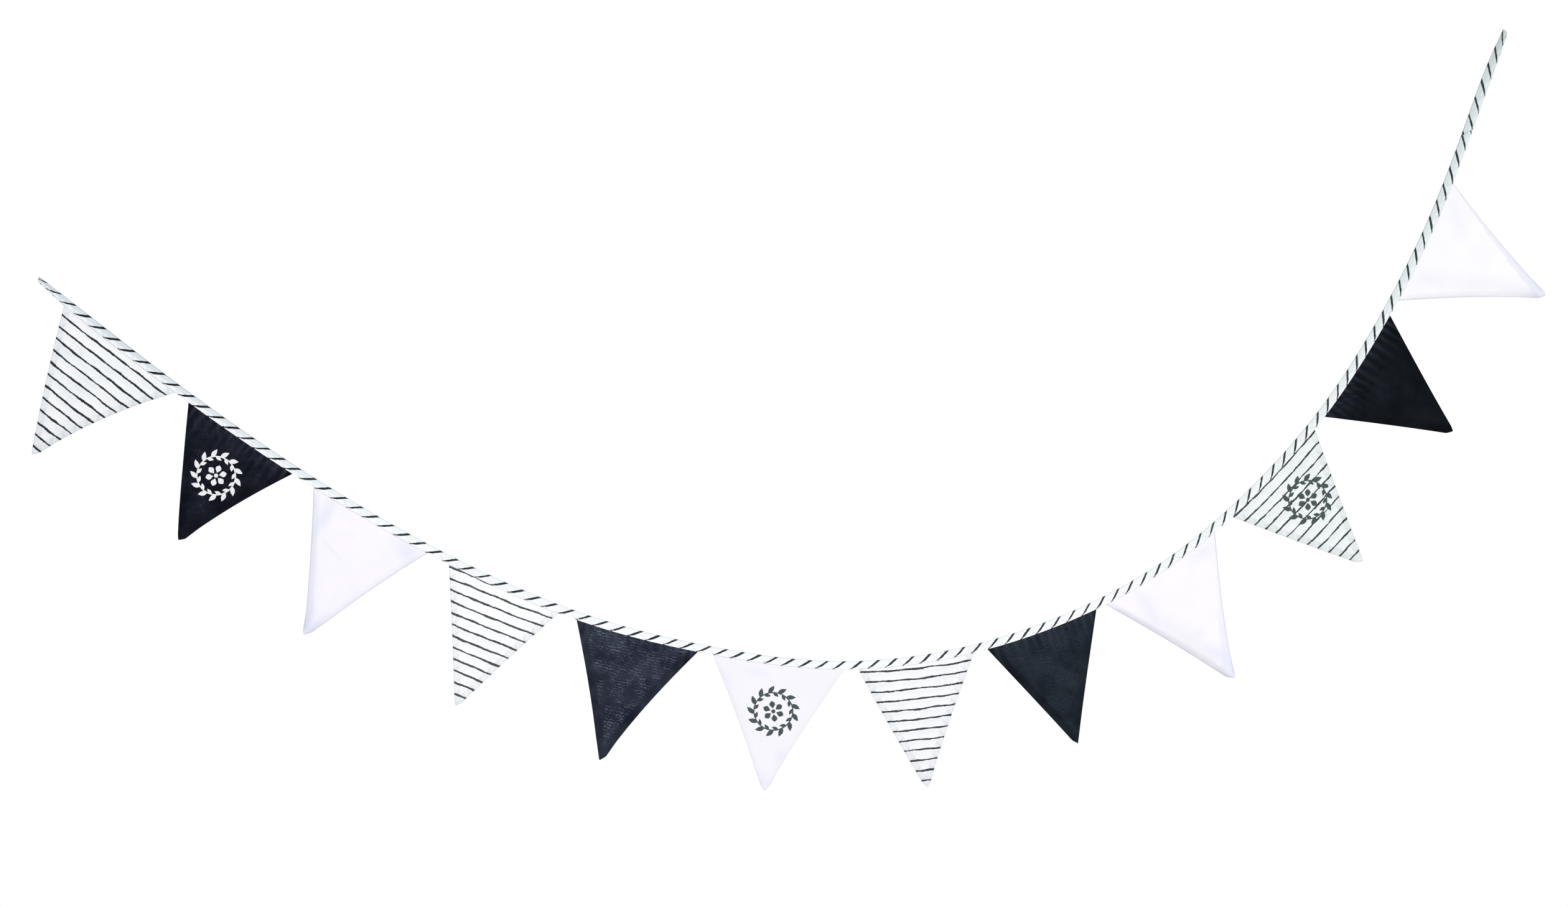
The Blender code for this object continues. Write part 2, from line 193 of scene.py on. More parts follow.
def spline_table(points, step):
    """Run a natural cubic spline through the points and read it every step of its length.

    The spline's second derivatives solve one linear system with a row for each inner point.
    Returns the lengths along the first two columns and the rows of values there.
    """
    knots = np.append(0.0, np.cumsum(np.hypot(*np.diff(points[:, :2], axis=0).T)))
    spans = np.diff(knots)
    slopes = np.diff(points, axis=0) / spans[:, None]
    matrix = np.eye(len(points))
    right = np.zeros_like(points)
    for i in range(1, len(points) - 1):
        matrix[i, i - 1:i + 2] = spans[i - 1], 2 * (spans[i - 1] + spans[i]), spans[i]
        right[i] = 6 * (slopes[i] - slopes[i - 1])
    bends = np.linalg.solve(matrix, right)

    at = np.linspace(0.0, knots[-1], 1 + int(knots[-1] / step))
    i = np.clip(np.searchsorted(knots, at, side="right") - 1, 0, len(spans) - 1)
    span, after, before = (a[:, None] for a in (spans[i], at - knots[i], knots[i + 1] - at))
    values = ((bends[i] * before ** 3 + bends[i + 1] * after ** 3) / (6 * span)
              + (points[i] / span - bends[i] * span / 6) * before
              + (points[i + 1] / span - bends[i + 1] * span / 6) * after)
    lengths = np.append(0.0, np.cumsum(np.hypot(*np.diff(values[:, :2], axis=0).T)))
    return lengths, values


CREASE_LENGTHS, CREASE = spline_table(np.array(ROUTE) * MM, ROUTE_STEP)
CREASE_SLOPES = np.gradient(CREASE[:, :2], CREASE_LENGTHS, axis=0)
TAPE_LENGTH = CREASE_LENGTHS[-1]
JOIN = TAPE_LENGTH - JOIN_FROM_HIGH_END
CUTS = [
    Cut(0.0, 4.5, False),
    Cut(JOIN, 14.0, True),
    Cut(TAPE_LENGTH, -3.0, False),
]


def along_crease(table, s):
    """Read a table of the crease at lengths from the low end."""
    return np.interp(s, CREASE_LENGTHS, table)


def tape_width(s):
    """The folded width, from the crease to the lower edges."""
    return along_crease(CREASE[:, 2], s)


def tape_depth(s):
    """The middle plane of the tape: a slow wave to the front and back, flat near the ends."""
    low = smooth_step((s - FLAT_AT_LOW_END) / WAVE_FADE)
    high = smooth_step((TAPE_LENGTH - FLAT_AT_HIGH_END - s) / WAVE_FADE)
    return DEPTH_WAVE * np.sin(2 * math.pi * s / WAVE_LENGTH) * low * high


def tape_turn(s):
    """How far the tape has turned about its crease: a power of what is left of each turn."""
    total = 0.0
    for turn, from_end in ((LOW_TURN, s), (HIGH_TURN, TAPE_LENGTH - s)):
        left = np.clip(1 - from_end / (turn.length * MM), 0.0, 1.0)
        total = total + turn.angle * left ** turn.power
    return total


def tape_point(s, down, back):
    """The place at a length along the crease, a way down from it and a way behind the middle."""
    turn = tape_turn(s)
    across = down * np.cos(turn) + back * np.sin(turn)
    depth = tape_depth(s) + back * np.cos(turn) - down * np.sin(turn)
    slope_x, slope_z = (along_crease(CREASE_SLOPES[:, i], s) for i in (0, 1))
    steepness = np.hypot(slope_x, slope_z)
    x = along_crease(CREASE[:, 0], s) + across * slope_z / steepness
    z = along_crease(CREASE[:, 1], s) - across * slope_x / steepness
    return np.stack([x, depth, z], axis=-1)


def half_slot(s):
    """Half the distance between the leaves: open around each pennant, nearly closed between."""
    opening = np.zeros_like(s)
    for pennant in PENNANTS:
        before = s - pennant.start * MM + SLOT_MARGIN + SLOT_RUN_OUT
        after = (pennant.start + pennant.base) * MM + SLOT_MARGIN + SLOT_RUN_OUT - s
        opening += smooth_step(before / SLOT_RUN_OUT) * smooth_step(after / SLOT_RUN_OUT)
    closed = LEAVES_APART / 2
    return closed + (SLOT_HALF - closed) * opening


def cut_shift(s, down, back):
    """How far the points near a cut move along the tape, so that the cut runs on its slant."""
    below_fold = np.clip((down - FOLD_DEPTH) / (tape_width(s) - FOLD_DEPTH), 0.0, 1.0)
    shift = np.zeros_like(down)
    for cut in CUTS:
        near = np.clip(1 - np.abs(s - cut.from_low_end) / CUT_FADE, 0.0, 1.0)
        side = np.where(back > 0, -1.0, 1.0) if cut.mirrored else 1.0
        shift += cut.slant * MM * near * side * below_fold
    return shift


# ---------------------------------------------------------------- meshes from grids

def sheet_sides(middle, thickness):
    """The middle surface moved half its thickness to each side, square to itself.

    The direction is the cross product of the steps along the rows and along the columns.
    """
    along_rows, along_columns = np.gradient(middle, axis=(0, 1))
    square = np.cross(along_rows, along_columns)
    square /= np.linalg.norm(square, axis=-1, keepdims=True)
    half = square * (thickness / 2)[..., None]
    return middle + half, middle - half


def closed_faces(rows, columns):
    """Faces of a sheet whose two sides are grids of points: both sides and the four rims.

    The second side's points follow the first side's. Returns the corners, four to a face.
    """
    place = np.arange(rows * columns).reshape(rows, columns)
    far = place + rows * columns
    front = np.stack([place[:-1, :-1], place[1:, :-1], place[1:, 1:], place[:-1, 1:]], -1)
    back = np.stack([far[:-1, :-1], far[:-1, 1:], far[1:, 1:], far[1:, :-1]], -1)
    rims = [
        np.stack([place[1:, 0], place[:-1, 0], far[:-1, 0], far[1:, 0]], -1),
        np.stack([place[:-1, -1], place[1:, -1], far[1:, -1], far[:-1, -1]], -1),
        np.stack([place[0, :-1], place[0, 1:], far[0, 1:], far[0, :-1]], -1),
        np.stack([place[-1, 1:], place[-1, :-1], far[-1, :-1], far[-1, 1:]], -1),
    ]
    return np.concatenate([front.reshape(-1, 4), back.reshape(-1, 4)] + rims)


def closed_sheet(front, back):
    """Points and faces of one closed sheet from its two sides."""
    points = np.concatenate([front.reshape(-1, 3), back.reshape(-1, 3)])
    return points, closed_faces(*front.shape[:2])


def joined(parts):
    """Several sheets as one set of points and faces, each one's corners counted on."""
    starts = np.cumsum([0] + [len(points) for points, _ in parts[:-1]])
    points = np.concatenate([points for points, _ in parts])
    return points, np.concatenate([faces + start for (_, faces), start in zip(parts, starts)])


def add_piece(name, points, faces, material, slot_name, smooth=True):
    """One object at the origin from arrays of points and four-cornered faces."""
    mesh = bpy.data.meshes.new(name)
    mesh.vertices.add(len(points))
    mesh.vertices.foreach_set("co", points.ravel())
    mesh.loops.add(faces.size)
    mesh.loops.foreach_set("vertex_index", faces.ravel())
    mesh.polygons.add(len(faces))
    mesh.polygons.foreach_set("loop_start", np.arange(0, faces.size, 4))
    mesh.update(calc_edges=True)
    mesh.validate()
    if smooth:
        mesh.shade_smooth()
    else:
        mesh.shade_flat()
    mesh.materials.append(material)
    piece = bpy.data.objects.new(name, mesh)
    bpy.context.scene.collection.objects.link(piece)
    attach(piece, "root")
    return piece


def add_map(piece, name, places):
    """A UV map from one place for each corner of each face."""
    layer = piece.data.uv_layers.new(name=name)
    layer.uv.foreach_set("vector", places.astype(np.float32).ravel())


def cloth_map(piece, name, faces, first, second):
    """A UV map whose two numbers are worked out at the points of the sheet's grid."""
    both_sides = np.tile(np.stack([first.ravel(), second.ravel()], -1), (2, 1))
    add_map(piece, name, both_sides[faces])


def add_tint(piece, name, colours):
    """A colour at each point of the cloth's grid, the same on both of its sides."""
    tint = piece.data.attributes.new(name, "FLOAT_VECTOR", "POINT")
    tint.data.foreach_set("vector", np.tile(colours.reshape(-1, 3), (2, 1)).ravel())


def linear(colour):
    """An sRGB hex colour as linear red, green and blue."""
    parts = np.array([int(colour[i:i + 2], 16) for i in (1, 3, 5)]) / 255
    return np.where(parts <= 0.04045, parts / 12.92, ((parts + 0.055) / 1.055) ** 2.4)


def tinted(colours, other, share):
    """Colours moved towards another by a share at each point."""
    return colours + (linear(other) - colours) * share[..., None]


# ---------------------------------------------------------------- the tape

# The dark stripes, counted along the crease: the place of every tenth or so, and those of the
# joined end, which run out of step with the rest.
Stripe = namedtuple("Stripe", "number at")
LONG_STRIPES = [
    Stripe(0, 15.6), Stripe(1, 41.6), Stripe(10, 284.6), Stripe(20, 549.6), Stripe(30, 811.6),
    Stripe(40, 1071.6), Stripe(50, 1316.6), Stripe(60, 1565.6), Stripe(70, 1800.6),
    Stripe(80, 2043.6), Stripe(90, 2291.6), Stripe(100, 2546.6), Stripe(101, 2572.2),
]
JOINED_STRIPES = [Stripe(0, 2575.6), Stripe(3, 2655.6), Stripe(6, 2733.6)]
STRIPE_PITCH = 25.0 * MM
STRIPE_FOOT = 1.6 * MM       # the edge stitching drags each stripe's end to the low end
STRIPE_FOOT_REACH = 3.5 * MM
# How far a stripe runs to the low end for each way down the cloth, at lengths of the tape.
SLANT_AT = np.array([0, 600, 1000, 1500, 1900, 2740]) * MM
SLANTS = np.array([1.6, 1.5, 1.42, 1.3, 1.4, 1.43])


def stripe_way(stripes, s):
    """The way along the tape in steps of one stripe: at whole pitches a stripe crosses.

    It is a straight line between the counted stripes, and goes on at one pitch past them.
    """
    numbers, places = (np.array(column, float) for column in zip(*stripes))
    places *= MM
    inside = np.interp(s, places, numbers) * STRIPE_PITCH
    return inside + np.minimum(s - places[0], 0) + np.maximum(s - places[-1], 0)


def ripple(s, down):
    """Two swaying waves along the tape, in step with the way down: none at the crease."""
    waves = sum(wave.height * MM * swaying_wave(s, wave.length * MM, wave.sway, wave.sway_length * MM)
                for wave in RIPPLES)
    return waves * down / tape_width(s)


def tape_middle(s):
    """The middle of the tape's one layer of cloth, from the front hem to the back hem.

    Each row is a length along the tape. Across it the cloth runs down its turned-in hem,
    round a half circle at the lower edge, up the leaf, over half an ellipse at the crease,
    and the same way down behind. The leaf sinks a little above the end of the hem, and at
    the stitching. Returns the ways down and back.
    """
    width = tape_width(s)
    seam = SEAM_VALLEY * hump((s - JOIN) / SEAM_WIDTH)
    outer = half_slot(s) + LEAF_THICK - TAPE_CLOTH / 2 - seam
    lowest = width - TAPE_CLOTH / 2
    ones = np.ones_like(s)

    hem_top = width - HEM_DEPTH * (1 + HEM_UNEVEN * np.sin(s / HEM_UNEVEN_LENGTH))
    hem_down = hem_top + np.linspace(0, 1, HEM_POINTS) * (lowest - HEM_BEND - hem_top)
    hem_out = (outer - 2 * HEM_BEND) * np.ones_like(hem_down)

    turn = np.linspace(0, math.pi, ROUND_POINTS)[:-1]
    turn_down = lowest - HEM_BEND + HEM_BEND * np.sin(turn) * ones
    turn_out = outer - HEM_BEND * (1 + np.cos(turn))

    leaf_down = lowest - HEM_BEND + LEAF_SHARES * (SHOULDER - lowest + HEM_BEND)
    above_hem = smooth_step((hem_top + HEM_STEP_RUN / 2 - leaf_down) / HEM_STEP_RUN)
    groove = GROOVE * hump((width - STITCH_UP - leaf_down) / GROOVE_WIDTH)
    leaf_out = outer - HEM_STEP * above_hem - groove + ripple(s, leaf_down)

    over = np.linspace(0, math.pi / 2, ROUND_POINTS)[1:]
    crease_down = SHOULDER - (SHOULDER - TAPE_CLOTH / 2) * np.sin(over) * ones
    crease_out = leaf_out[:, -1:] * np.cos(over)

    down = np.hstack([hem_down, turn_down[:, 1:], leaf_down, crease_down])
    back = -np.hstack([hem_out, turn_out[:, 1:], leaf_out, crease_out])
    down = np.hstack([down, down[:, -2::-1]])
    back = np.hstack([back, -back[:, -2::-1]])
    return down, back


def tape_stations(first, last):
    """Lengths of the tape's rows: even, and closer together beside the seam."""
    even = np.linspace(first, last, 1 + round((last - first) / STATION_STEP))
    seam = np.concatenate([JOIN - SEAM_STATIONS, JOIN + SEAM_STATIONS])
    seam = seam[(seam > first) & (seam < last)]
    apart = np.abs(even[:, None] - seam).min(axis=1) > STATION_STEP / 4
    apart[[0, -1]] = True
    return np.sort(np.concatenate([even[apart], seam]))[:, None]


BAKE_MARGIN = 0.002
BAKE_REACH = 1.04            # a row is this much longer than its share of the tape
BAKE_FRONT = 0.85            # the share of a row's height that the outer side takes


def bake_rows(s, across, blocks):
    """Places for the tape's colours in a square: lengths of it in rows, one above the other.

    Each row of the square holds one length of the tape along it and the cloth's width across
    it, the outer side below the inner side. Returns four places for each face of both sides,
    and the outer ones' again for the rims.
    """
    rows, columns = len(s), len(across)
    per_block = -(-(rows - 1) // blocks)
    face_row, face_column = np.indices((rows - 1, columns - 1))
    block = face_row // per_block
    first = s[np.minimum(block * per_block, rows - 1)]
    reach = s[-1] / blocks * BAKE_REACH
    edge = BAKE_MARGIN * blocks

    def corners(down, over, low, high):
        """Where one corner of each face goes: so many rows down and columns over."""
        along = BAKE_MARGIN + (s[face_row + down] - first) / reach * (1 - 2 * BAKE_MARGIN)
        way = across[face_column + over]
        return np.stack([along, (block + low + edge + way * (high - low - 2 * edge)) / blocks], -1)

    front_order, back_order = ((0, 0), (1, 0), (1, 1), (0, 1)), ((0, 0), (0, 1), (1, 1), (1, 0))
    front = np.stack([corners(*at, 0.0, BAKE_FRONT) for at in front_order], 2)
    back = np.stack([corners(*at, BAKE_FRONT, 1.0) for at in back_order], 2)
    rims = [
        front[:, 0][:, [1, 0, 0, 1]],
        front[:, -1][:, [3, 2, 2, 3]],
        front[0][:, [0, 3, 3, 0]],
        front[-1][:, [2, 1, 1, 2]],
    ]
    return np.concatenate([front.reshape(-1, 4, 2), back.reshape(-1, 4, 2)] + rims)


# The white of the tape, where one layer shows and over its turned-in hem: greyer towards both
# ends in painted shade, bluer near the low end and greener near the high one. crease: how dark
# the painted shade along the rounded crease is; ink: the stripes' colour; slim: how much
# narrower each side of a stripe is, in millimetres.
TapeTint = namedtuple("TapeTint", "at single hem crease ink slim")
TAPE_TINTS = [
    TapeTint(0, "#c9d1d8", "#e3e9ed", 0.9, "#02060a", 0.1),
    TapeTint(330, "#d2dae0", "#e9edf1", 0.6, "#04080c", 0.15),
    TapeTint(620, "#e7ebee", "#f0f2f4", 0.25, "#1d242a", 0.3),
    TapeTint(1700, "#eaedee", "#f1f2f3", 0.2, "#2c3238", 0.4),
    TapeTint(2400, "#d3dddd", "#e1e9e9", 0.6, "#252d30", 0.3),
    TapeTint(2740, "#bfcdcd", "#d3dfdf", 0.8, "#252d30", 0.25),
]
# Painted shade along the rounded crease; the same colour draws the darker line along the seam.
CREASE_TINT = "#6c777d"
CREASE_LINE = 0.8 * MM
SEAM_LINE = 0.4              # how dark the line along the seam is
HEM_EDGE = 0.8 * MM


def along_table(s, part):
    """A number or a colour of the tape's table, at lengths from the low end."""
    at = np.array([tint.at for tint in TAPE_TINTS]) * MM
    values = [getattr(tint, part) for tint in TAPE_TINTS]
    if isinstance(values[0], str):
        colours = np.array([linear(value) for value in values])
        return np.stack([np.interp(s, at, column) for column in colours.T], -1)
    return np.interp(s, at, values)


def tape_tint(s, down):
    """The cloth's white at each point, with painted shade along the crease and a darker line along the
    seam.

    The white goes from that of one layer to that over the hem in a soft step at its end. The
    line along the crease is a step of the way down, and the one along the seam a hump.
    """
    # The whites grow greyer towards both ends: painted shade.
    single, hem = along_table(s, "single"), along_table(s, "hem")
    over_hem = smooth_step((HEM_DEPTH + HEM_EDGE / 2 - tape_width(s) + down) / HEM_EDGE)
    colour = single + (hem - single) * over_hem[..., None]
    # Painted shade: a dark line along the rounded crease.
    at_crease = along_table(s, "crease") * smooth_step(1.5 - down / CREASE_LINE)
    colour = tinted(colour, CREASE_TINT, at_crease)
    return tinted(colour, CREASE_TINT, SEAM_LINE * hump((s - JOIN) / SEAM_WIDTH))


def add_tape(name, node, first, last, stripes, material, blocks):
    """One length of tape with its tints and its maps: the stripes, the hem behind, the bake's.

    Returns the piece, and its mean width unfolded.
    """
    s = tape_stations(first, last)
    down, back = tape_middle(s)
    along = s + cut_shift(s, down, back)
    middle = tape_point(along, down, back)
    thickness = np.full(middle.shape[:2], TAPE_CLOTH)
    points, faces = closed_sheet(*sheet_sides(middle, thickness))
    tape = add_piece(name, points, faces, material, "striped_bias_tape")
    add_tint(tape, "Tint", tape_tint(s, down))
    everywhere = np.broadcast_to(s, down.shape)
    add_tint(tape, "Ink", along_table(everywhere, "ink"))
    slim = along_table(everywhere, "slim") * MM
    add_tint(tape, "Slim", np.stack([slim, slim, slim], -1))

    # The way across the unfolded strip: 0 at the crease, less in front and more behind.
    steps = np.hypot(np.diff(down, axis=1), np.diff(back, axis=1))
    across = np.hstack([np.zeros_like(s), np.cumsum(steps, axis=1)])
    across -= across[:, [across.shape[1] // 2]]
    slant = np.interp(s, SLANT_AT, SLANTS)
    above_edge = tape_width(s) - down
    foot = STRIPE_FOOT * smooth_step(1 - above_edge / STRIPE_FOOT_REACH)
    cloth_map(tape, "Cloth", faces, stripe_way(stripes, along - slant * across + foot), across)
    # What lies behind a leaf: its own hem, whose stripes run on past the lower edge.
    hidden = np.sign(across) * (tape_width(s) + above_edge)
    cloth_map(tape, "Hem", faces, stripe_way(stripes, along - slant * hidden), above_edge)
    spread = (across[0] - across[0, 0]) / np.ptp(across[0])
    add_map(tape, "OFBake", bake_rows(s[:, 0] - s[0, 0], spread, blocks))
    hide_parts(node)
    return tape, float(np.ptp(across, axis=1).mean())


# ---------------------------------------------------------------- stitching

def stitches(points, directions, outwards):
    """Short rounded threads as one mesh: six-sided tubes of four rings with small ends.

    Each ring's points lie around the thread's middle line, at angles of a full turn over six,
    and the rings' radii and heights follow half an ellipse, so both ends dip into the cloth.
    """
    shares = np.array([-1.0, -0.55, 0.55, 1.0])
    radii = STITCH_THICK / 2 * np.array([0.35, 1.0, 1.0, 0.35])
    heights = STITCH_THICK * np.array([-0.55, 0.1, 0.1, -0.55])
    angles = np.arange(6) * math.pi / 3
    sideways = np.cross(directions, outwards)
    centre = (points[:, None] + directions[:, None] * (shares * STITCH_LENGTH / 2)[:, None]
              + outwards[:, None] * heights[:, None])
    around = (sideways[:, None, None] * np.cos(angles)[:, None]
              + outwards[:, None, None] * np.sin(angles)[:, None])
    made = centre[:, :, None] + around * radii[:, None, None]

    place = np.arange(len(shares) * len(angles)).reshape(len(shares), len(angles))
    beside = np.roll(place, -1, axis=1)
    sides = np.stack([place[:-1], beside[:-1], beside[1:], place[1:]], -1).reshape(-1, 4)
    ends = np.array([[0, 3, 2, 1], [0, 5, 4, 3]])
    last = place[-1, 0]
    far_ends = np.array([[last, last + 1, last + 2, last + 3], [last, last + 3, last + 4, last + 5]])
    faces = np.concatenate([sides, ends, far_ends])
    starts = np.arange(len(points)) * place.size
    return made.reshape(-1, 3), (faces[None] + starts[:, None, None]).reshape(-1, 4)


def directions_at(s, down, back):
    """Places on the tape, and the directions along it and out of its cloth there.

    Each direction is the step between two near places, made one long.
    """
    place = tape_point(s, down, back)
    step = 0.5 * MM
    along = tape_point(s + step, down, back) - tape_point(s - step, down, back)
    outward = tape_point(s, down, back * 1.01) - place
    return [place] + [way / np.linalg.norm(way, axis=1, keepdims=True) for way in (along, outward)]


def add_stitching(thread):
    """The row of stitches that closes the tape, in front and half a stitch further behind.

    They stand a pitch apart, a little unevenly, and the row drifts up and down as a sine.
    """
    rng = np.random.default_rng(5)
    s = np.arange(STITCH_FROM_CUT, TAPE_LENGTH - STITCH_FROM_CUT, STITCH_PITCH)
    s = s + rng.normal(0, STITCH_UNEVEN, len(s))
    down = tape_width(s) - STITCH_UP + rng.normal(0, ROW_UNEVEN, len(s))
    down += ROW_DRIFT * np.sin(s / ROW_DRIFT_LENGTH)
    parts = []
    for side in (-1, 1):
        back = side * (half_slot(s) + LEAF_THICK - STITCH_SINK)
        parts.append(stitches(*directions_at(s + side * STITCH_PITCH / 4, down, back)))
    return add_piece("edge_stitching", *joined(parts), thread, "striped_bias_tape")


# ---------------------------------------------------------------- the pennants' cloth

# Soft creases and bulges, listed in each pennant's own sizes: from one point to
# another, across from the low corner and down from the tape. height: to the front, or to the
# back where minus; width: to each side; deep: how much painted shade lies there, taken away where minus.
Crease = namedtuple("Crease", "x0 y0 x1 y1 height width deep", defaults=[0.0])
CREASES = {
    1: [Crease(20, 30, 70, 90, 0.9, 12), Crease(120, 20, 90, 95, -0.8, 14, 0.2),
        Crease(60, 110, 95, 150, 0.7, 10), Crease(60, 40, 30, 60, -0.4, 8, 0.25)],
    2: [Crease(60, 20, 125, 60, 0.8, 12), Crease(40, 55, 80, 120, -0.9, 12)],
    3: [Crease(36, 4, 35, 56, -1.2, 10, 0.5), Crease(47, 8, 48, 46, 0.8, 5, -0.15),
        Crease(48, 46, 38, 66, 0.6, 5, -0.1), Crease(52, 61, 88, 71, -0.6, 4, 0.3),
        Crease(85, 35, 60, 120, 1.3, 15), Crease(152, 4, 174, 20, -1.0, 14, 0.55),
        Crease(104, 8, 166, 41, 0.6, 5, -0.1), Crease(70, 31, 85, 30, 0.5, 4, 0.15),
        Crease(93, 165, 96, 190, -0.3, 16, 0.5)],
    4: [Crease(30, 20, 80, 70, 0.7, 12), Crease(120, 30, 85, 110, -0.7, 13, 0.15),
        Crease(93, 176, 94, 182, 0, 7, 0.8)],
    5: [Crease(30, 30, 75, 95, 1.1, 13), Crease(135, 30, 105, 90, -1.2, 13),
        Crease(80, 120, 95, 160, 1.0, 9)],
    6: [Crease(50, 16, 77, 17, -0.5, 9, 0.3), Crease(20, 20, 27, 42, -0.4, 8, 0.3),
        Crease(107, 126, 115, 143, 0.5, 8, 0.35), Crease(94, 168, 95, 187, 0.2, 10, 0.5),
        Crease(40, 45, 75, 95, 0.8, 14), Crease(140, 25, 115, 75, -0.8, 12, 0.1)],
    7: [Crease(35, 30, 70, 90, 0.7, 12), Crease(115, 25, 90, 100, -0.6, 13, 0.15)],
    8: [Crease(35, 25, 75, 85, 1.0, 13), Crease(125, 25, 90, 115, -0.9, 13)],
    9: [Crease(49, 14, 43, 56, -1.0, 9, 0.35), Crease(138, 12, 169, 14, -0.6, 9, 0.35),
        Crease(60, 45, 80, 110, 1.2, 14), Crease(86, 105, 94, 113, 0.3, 8, 0.25),
        Crease(91, 136, 98, 160, -0.8, 9, 0.4), Crease(97, 176, 99, 190, 0, 12, 0.4),
        Crease(125, 40, 100, 95, 0.9, 13)],
    10: [Crease(35, 25, 70, 80, 0.7, 12, 0.1), Crease(125, 30, 95, 100, -0.8, 13, 0.25)],
    11: [Crease(40, 25, 75, 80, 0.7, 12), Crease(120, 30, 90, 95, -0.7, 12)],
    12: [Crease(156, 12, 127, 40, -0.9, 10, 0.25), Crease(44, 12, 45, 38, -0.7, 9, 0.2),
         Crease(60, 50, 90, 110, 1.2, 15), Crease(125, 60, 108, 125, 0.9, 9, -0.1),
         Crease(92, 162, 96, 188, 0.3, 17, 0.35)],
}
UNDULATION = 0.28 * MM       # small uneven waves of cloth that was never pressed flat
UNDULATION_WAVES = 7
UNDULATION_LENGTHS = (35, 80)
PUCKER = 0.22 * MM           # the seams draw the cloth into short waves
PUCKER_LENGTHS = (7, 9.5, 13)
PUCKER_REACH = 7.0 * MM
GATHER = 0.3 * MM            # the stitching gathers it a little below the tape
GATHER_LENGTH = 12.0 * MM
GATHER_REACH = 16.0 * MM
GATHER_START = 4.0 * MM
GATHER_SWAY = (2.2, 23.0 * MM)    # how far these waves sway, and how slowly
PUCKER_SWAY = (1.5, 31.0 * MM)
CREASE_ENDS = 0.6            # how high a crease still is at its two ends

SHARES_DOWN = np.concatenate([
    np.linspace(0.0, 0.06, 5)[:-1], np.linspace(0.06, 0.9, 58)[:-1],
    np.linspace(0.9, 0.985, 14)[:-1], [0.985, 0.989, 0.993, 0.996, 0.998, 1.0],
])
BAND_SHARES = np.array([0, .006, .016, .032, .055, .1, .17, .26, .37, .48, .58, .66, .72, .78, .85, 1])
MIDDLE_COLUMNS = 34
INSIDE_ROWS = 4


def pennant_sides(pennant, share):
    """Where the two sides lie across the base at each share of the drop.

    Straight sides run from the corners to the blunt tip. A parabola draws each one in by its
    bow, the last fifth slides aside by the hook, and the tip narrows to a round end.
    """
    middle = (pennant.base / 2 + pennant.shift) * MM
    half_tip = pennant.tip / 2 * MM
    parabola = 4 * share * (1 - share)
    hook = pennant.hook * MM * smooth_step((share - TIP_TURN) / (1 - TIP_TURN))
    low = share * (middle - half_tip) + pennant.bow_low * MM * parabola + hook
    high = pennant.base * MM * (1 - share) + share * (middle + half_tip)
    high += hook - pennant.bow_high * MM * parabola
    end = (low + high) / 2 + pennant.point * (high - low) / 2
    past_round = np.clip((share - TIP_ROUND) / (1 - TIP_ROUND), 0, 1)
    narrowing = 1 - (1 - TIP_END_WIDTH) * past_round ** 2
    return end + (low - end) * narrowing, end + (high - end) * narrowing


def pennant_depth(pennant, share, from_low, from_high):
    """How far behind the tape's middle plane the cloth lies, apart from its creases.

    The middle billows to the front, each seamed side rolls back within its band down to the
    end of the tip, the tip leans and one side comes forward. All of it starts from nothing at
    the tape.
    """
    width = from_low + from_high
    across = from_low / width
    band = np.minimum(ROLL_BAND, BAND_SHARE * width)
    roll = (pennant.roll_low * MM * np.clip(1 - from_low / band, 0, 1) ** 2
            + pennant.roll_high * MM * np.clip(1 - from_high / band, 0, 1) ** 2)
    bulge = np.sin(math.pi * across) ** 2 * np.sin(math.pi * share) ** BILLOW_POWER
    lean = pennant.lean * MM * share ** 2
    twist = pennant.twist * MM * (0.5 - across) * np.sin(math.pi * share)
    rolled = roll * smooth_step(share * pennant.drop * MM / ROLL_START)
    rolled = rolled * smooth_step(width / ROLL_END) ** 2
    return rolled + lean + twist - pennant.billow * MM * bulge


def near_line(crease, x, y):
    """A soft hump of the distance from a crease's line in its widths, lower at its two ends."""
    start = np.array([crease.x0, crease.y0]) * MM
    way = np.array([crease.x1, crease.y1]) * MM - start
    share = ((x - start[0]) * way[0] + (y - start[1]) * way[1]) / (way @ way)
    share = np.clip(share, 0, 1)
    gap = np.hypot(x - start[0] - share * way[0], y - start[1] - share * way[1])
    along = CREASE_ENDS + (1 - CREASE_ENDS) * np.sin(math.pi * share)
    return hump(gap / (crease.width * MM)) * along


def gathers(number, x, y):
    """Swaying waves along the tape, between -1 and 1, that die away down the cloth."""
    wave = swaying_wave(x, GATHER_LENGTH, *GATHER_SWAY, slide=number)
    return wave * np.exp(-y / GATHER_REACH)


def cloth_relief(number, x, y, from_low, from_high):
    """How far the cloth stands to the front: its creases, slow waves, puckers and gathers.

    The slow waves are a sum of sines in seeded directions. The puckers are swaying waves down
    each side, and die away from the seam. All of these start from nothing at the tape, and the
    gathers a little below it.
    """
    rng = np.random.default_rng(100 + number)
    relief = sum(crease.height * MM * near_line(crease, x, y) for crease in CREASES[number])
    for _ in range(UNDULATION_WAVES):
        angle, phase = rng.uniform(0, 2 * math.pi, 2)
        length = rng.uniform(*UNDULATION_LENGTHS) * MM
        along = x * math.cos(angle) + y * math.sin(angle)
        relief = relief + UNDULATION / 2 * np.sin(2 * math.pi * along / length + phase)
    for gap in (from_low, from_high):
        for length in PUCKER_LENGTHS:
            phase, slide = rng.uniform(0, 2 * math.pi, 2)
            wave = swaying_wave(y, length * MM, *PUCKER_SWAY, phase, slide)
            relief = relief + PUCKER / 2 * wave * hump(gap / PUCKER_REACH)
    gathered = GATHER * gathers(number, x, y) * smooth_step(y / GATHER_START)
    return relief * smooth_step(y / ROLL_START) + gathered


